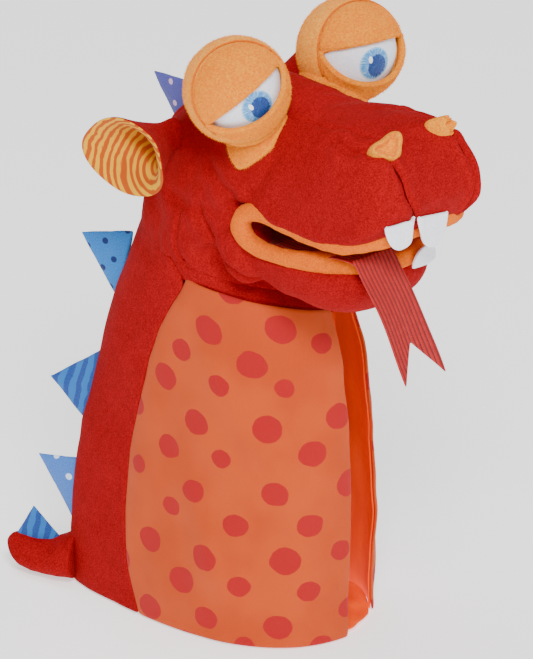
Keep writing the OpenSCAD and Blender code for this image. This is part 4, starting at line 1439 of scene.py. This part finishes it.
# ---- Nostrils -------------------------------------------------------------------------------
def nostril(side):
    """A small round of plush, pinched to a Y in its middle and tucked into the seam in front."""
    centre, normal, _, _ = head_tree.find_nearest(Vector((side * 21.5, -136.0, 291.4)))
    out = unit(np.array(normal) * 0.5 + (side * 0.30, -0.60, 0.55))
    across = unit(np.cross((0, 0.9, 0.45), out))
    up = np.cross(out, across)
    rows, cols = 18, 60
    r, a = tube_grid(rows, cols)
    outline = 1 + 0.15 * np.cos(3 * a - 1.4) + 0.06 * np.cos(2 * a + 0.4)
    size = 1.0 if side < 0 else 0.82
    x = 9.4 * size * r * outline * np.cos(a)
    y = 7.2 * size * r * outline * np.sin(a)
    ridge = (5.2 + 1.6 * np.sin(a) + 1.2 * np.cos(3 * a - 1.4)) * bell(r, 0.68, 0.22)
    folds = sum(bell(a, c, 0.24) for c in (0.75, 2.5, 4.6))
    height = 1.1 + ridge * (1 - 0.8 * folds * (1 - smoothstep(0.60, 0.88, r))) - 4.4 * smoothstep(0.82, 1.0, r)
    height = np.where(r > 0.999, height - 1.5, height) * size - (1 - size) * 6
    grid = np.array(centre) + x[..., None] * across + y[..., None] * up + height[..., None] * out
    grid = grid + 0.4 * fractal(grid, 4, 110 + side, 2)[..., None] * out
    middle = grid[-1].mean(0)
    skirt = [middle + (grid[-1] - middle) * share - out * drop
             for share, drop in ((0.97, 1.8), (0.86, 3.4), (0.5, 4.2))]
    grid = to_row(np.concatenate([grid, skirt])).reshape(-1, 3)
    obj = subdivide(make("nostril_petal_" + WORD[side], grid, grid_quads(rows + 3, cols, True), [PLUSH]))
    settle(obj, "nostril_" + WORD[side], "head")


nostril(-1)
nostril(1)


# ---- Inside ---------------------------------------------------------------------------------
def pouch():
    """The belly's satin bag: three soft walls, open at the front and the top, and a floor."""
    rows, cols = 40, 46
    bow = [(-28 * math.cos(t), -30 + 22 * math.sin(t)) for t in np.linspace(0, math.pi, 17)][1:-1]
    outline = [(-28, -50), (-28, -40), (-28, -30), *bow, (28, -30), (28, -40), (28, -50)]
    line = spline(np.array([(x, y, 0) for x, y in outline], float), cols)
    v, u = np.meshgrid(np.linspace(0, 1, rows), np.arange(cols), indexing="ij")
    z = 3.4 + v * 164.6
    grid = np.stack([line[u, 0] * 0.975, (line[u, 1] + 29) * 0.97 - 29, z], -1)
    wave = 1.5 * fractal(np.stack([grid[..., 0] * 1.6, grid[..., 1] * 1.6, z * 0.3], -1), 18, 120, 3)
    grid = grid + grid_normals(grid) * wave[..., None]
    settle(panel("pouch_satin", grid, LINING_T, [SATIN]), "pouch_lining", "sleeve")
    v, u = sheet_grid(16, 18)
    y = -75.5 + 66.5 * v
    angle = np.degrees(np.arccos(np.clip((3.5 - y) / 81.5, 0, 1)))
    room = np.maximum(sleeve_point(angle, 3.0)[..., 0] - 7.5, 8)
    round_back = np.sqrt(np.clip(1 - (np.clip((y + 30) / 22, 0, 1)) ** 2, 0.02, 1))
    half = np.minimum((28.8 + 8 * smoothstep(30, 46, -y)) * round_back, room)
    z = 4.8 - 3.4 * smoothstep(60, 74, -y) + 1.0 * fractal(np.stack([half * u, y, y * 0], -1), 15, 125, 2)
    floor = np.stack([half * u, y, np.maximum(z, 1.0)], -1)
    settle(panel("pouch_bottom", floor, LINING_T, [SATIN]), "pouch_floor", "sleeve")


def arm_tube():
    v, a = tube_grid(34, 60)
    half_x, half_y, middle = 24.2 + v, 29.2 - 6 * v, 27 - 7 * v
    grid = np.stack([half_x * np.cos(a), middle + half_y * np.sin(a), 14 + 168 * v], -1)
    folds = np.stack([np.cos(a) * 40, np.sin(a) * 40, v * 40], -1)
    out = np.stack([np.cos(a), np.sin(a), a * 0], -1)
    grid = grid + out * (fractal(folds, 14, 130, 2) - 0.6)[..., None]
    settle(panel("arm_lining", grid, 1.3, [DARK], wrap=True), "arm_liner", "sleeve")


def hem():
    v, u = sheet_grid(6, 70, 0)
    grid = sleeve_point(66 + (294 - 66) * u, 0.6 + 11 * v, 4.6)
    grid = grid + grid_normals(grid) * (0.5 * fractal(grid, 18, 133, 2))[..., None]
    settle(panel("hem_lining", grid, 1.8, [DARK]), "hem_band", "sleeve")


def throat():
    v, a = tube_grid(12, 44)
    fold = 0.48 * np.sin(a * 9 + v)
    x, y = (21.6 + fold) * np.cos(a), -19.5 + (17.0 + fold) * np.sin(a)
    grid = to_row(np.stack([x, y, 188.5 + 29 * v], -1))
    settle(panel("throat_lining", grid, LINING_T, [DARK], wrap=True), "throat_tube", "neck")


def mitt(name, centre, size, node, body):
    """A soft pocket, open at the back."""
    rings = []
    a = circle(32)
    for v in np.linspace(0, 1, 20):
        k = math.sqrt(max(0.03, 1 - max(0, (0.16 - v) / 0.16) ** 2))
        x = size[0] / 2 * k * signed(np.cos(a), 0.5)
        z = size[1] / 2 * k * signed(np.sin(a), 0.7)
        rings.append(np.stack([centre[0] + x, np.full(32, centre[1] + v * size[2]), centre[2] + z], 1))
    grid = plush_wave(np.array(rings), 140, 16, 0.5)
    settle(panel(name, to_row(grid), LINING_T, [DARK], wrap=True), node, body)


def filling():
    centre = (0, -112, 276)
    points, faces = ellipsoid(centre, (30, 28, 10))
    points = points + unit(points - centre) * (1.2 * fractal(points, 14, 150, 2))[:, None]
    settle(make("snout_fill", to_row(points), faces, [FILL]), "snout_stuffing", "head")


pouch()
arm_tube()
hem()
throat()
mitt("finger_mitt", (0, -117, 256), (56, 14, 84), "finger_pocket", "head")
mitt("thumb_mitt", (0, -101, 209), (28.5, 9.6, 34), "thumb_pocket", "jaw")
filling()
bpy.data.objects.remove(head_form)


# ---- Studio ---------------------------------------------------------------------------------
FLOOR_HALF, FLOOR_Z = 6.0, -0.0006
# Name, place, size in m and power in W; all of them face the puppet's middle.
LIGHTS = (("key", (-1.5, -0.8, 1.6), 0.6, 54), ("fill", (0.7, -1.8, 0.9), 1.2, 10),
          ("top", (0.3, 0.7, 2.0), 1.4, 16))


def studio():
    n = Nodes("studio_floor")
    colour = n.mix(n.noise(n.place(), 40), (0.90, 0.90, 0.90), (0.93, 0.93, 0.93))
    material = n.finish(colour, None, 0.9, specular=0.1, Emission_Color=(1, 1, 1), Emission_Strength=0.85)
    mesh = bpy.data.meshes.new("studio_floor")
    s = FLOOR_HALF
    mesh.from_pydata([(-s, -s, 0), (s, -s, 0), (s, s, 0), (-s, s, 0)], [], [(0, 1, 2, 3)])
    mesh.materials.append(material)
    place("studio_floor", mesh, (0, 0, FLOOR_Z))
    world = bpy.data.worlds.new("studio")
    world.use_nodes = True
    colour, strength = world.node_tree.nodes["Background"].inputs[:2]
    colour.default_value, strength.default_value = (1.0, 0.99, 0.975, 1), 0.36
    bpy.context.scene.world = world
    for name, at, size, power in LIGHTS:
        data = bpy.data.lights.new(name, "AREA")
        data.energy, data.size = power, size
        place(name, data, at, Vector((0, 0, 0.15)) - Vector(at))


# ---- Plush pile -------------------------------------------------------------------------------
# Which pieces have plush pile, how many tufts a square mm, and how long they are in mm.
PILE = (("upper_lid_", 3.4, 1.25), ("lower_lid_", 3.4, 1.15), ("eye_cup_", 2.2, 1.1),
        ("eye_collar_", 2.6, 1.2), ("eye_gusset_", 2.6, 1.2), ("nostril_petal_", 3.4, 1.0))


def tufts(side):
    """The plush's pile: short tapered tufts that stand out of the eye's cloth and its collar."""
    word = WORD[side]
    rng = np.random.default_rng(400 + side)
    middle = to_row(eye_place(np.zeros(3), side))
    points = []
    for source, density, length in PILE:
        obj = bpy.data.objects[source + word]
        mesh, at = obj.data, coordinates(obj)
        mesh.calc_loop_triangles()
        tri = np.array([t.vertices[:] for t in mesh.loop_triangles])
        a, b, c = at[tri[:, 0]], at[tri[:, 1]], at[tri[:, 2]]
        face = np.cross(b - a, c - a)
        area = np.linalg.norm(face, axis=1) / 2
        normal = face / np.maximum(2 * area, 1e-9)[:, None]
        centre = middle if source.startswith("eye_cup") or "lid" in source else at.mean(0) - (0, 0, 4)
        keep = np.einsum("ij,ij->i", normal, unit((a + b + c) / 3 - centre)) > 0.25
        a, b, c, normal, area = a[keep], b[keep], c[keep], normal[keep], area[keep]
        count = int(area.sum() * density)
        pick = rng.choice(len(area), count, p=area / area.sum())
        s, t = rng.random(count), rng.random(count)
        s, t = np.where(s + t > 1, 1 - s, s), np.where(s + t > 1, 1 - t, t)
        root = a[pick] + s[:, None] * (b - a)[pick] + t[:, None] * (c - a)[pick] - normal[pick] * 0.15
        way = unit(normal[pick] + 0.38 * rng.normal(size=(count, 3)) + np.array([0, 0, -0.35]))
        wide = unit(np.cross(way, rng.normal(size=(count, 3)))) * 0.13
        tip = root + way * (length * rng.uniform(0.6, 1.1, count))[:, None]
        points.append(np.stack([root - wide, root + wide, tip], 1).reshape(-1, 3))
    points = np.concatenate(points)
    obj = make("plush_pile_" + word, points, np.arange(len(points)).reshape(-1, 3), [PLUSH_TIP])
    settle(obj, body="head")


tufts(-1)
tufts(1)


studio()
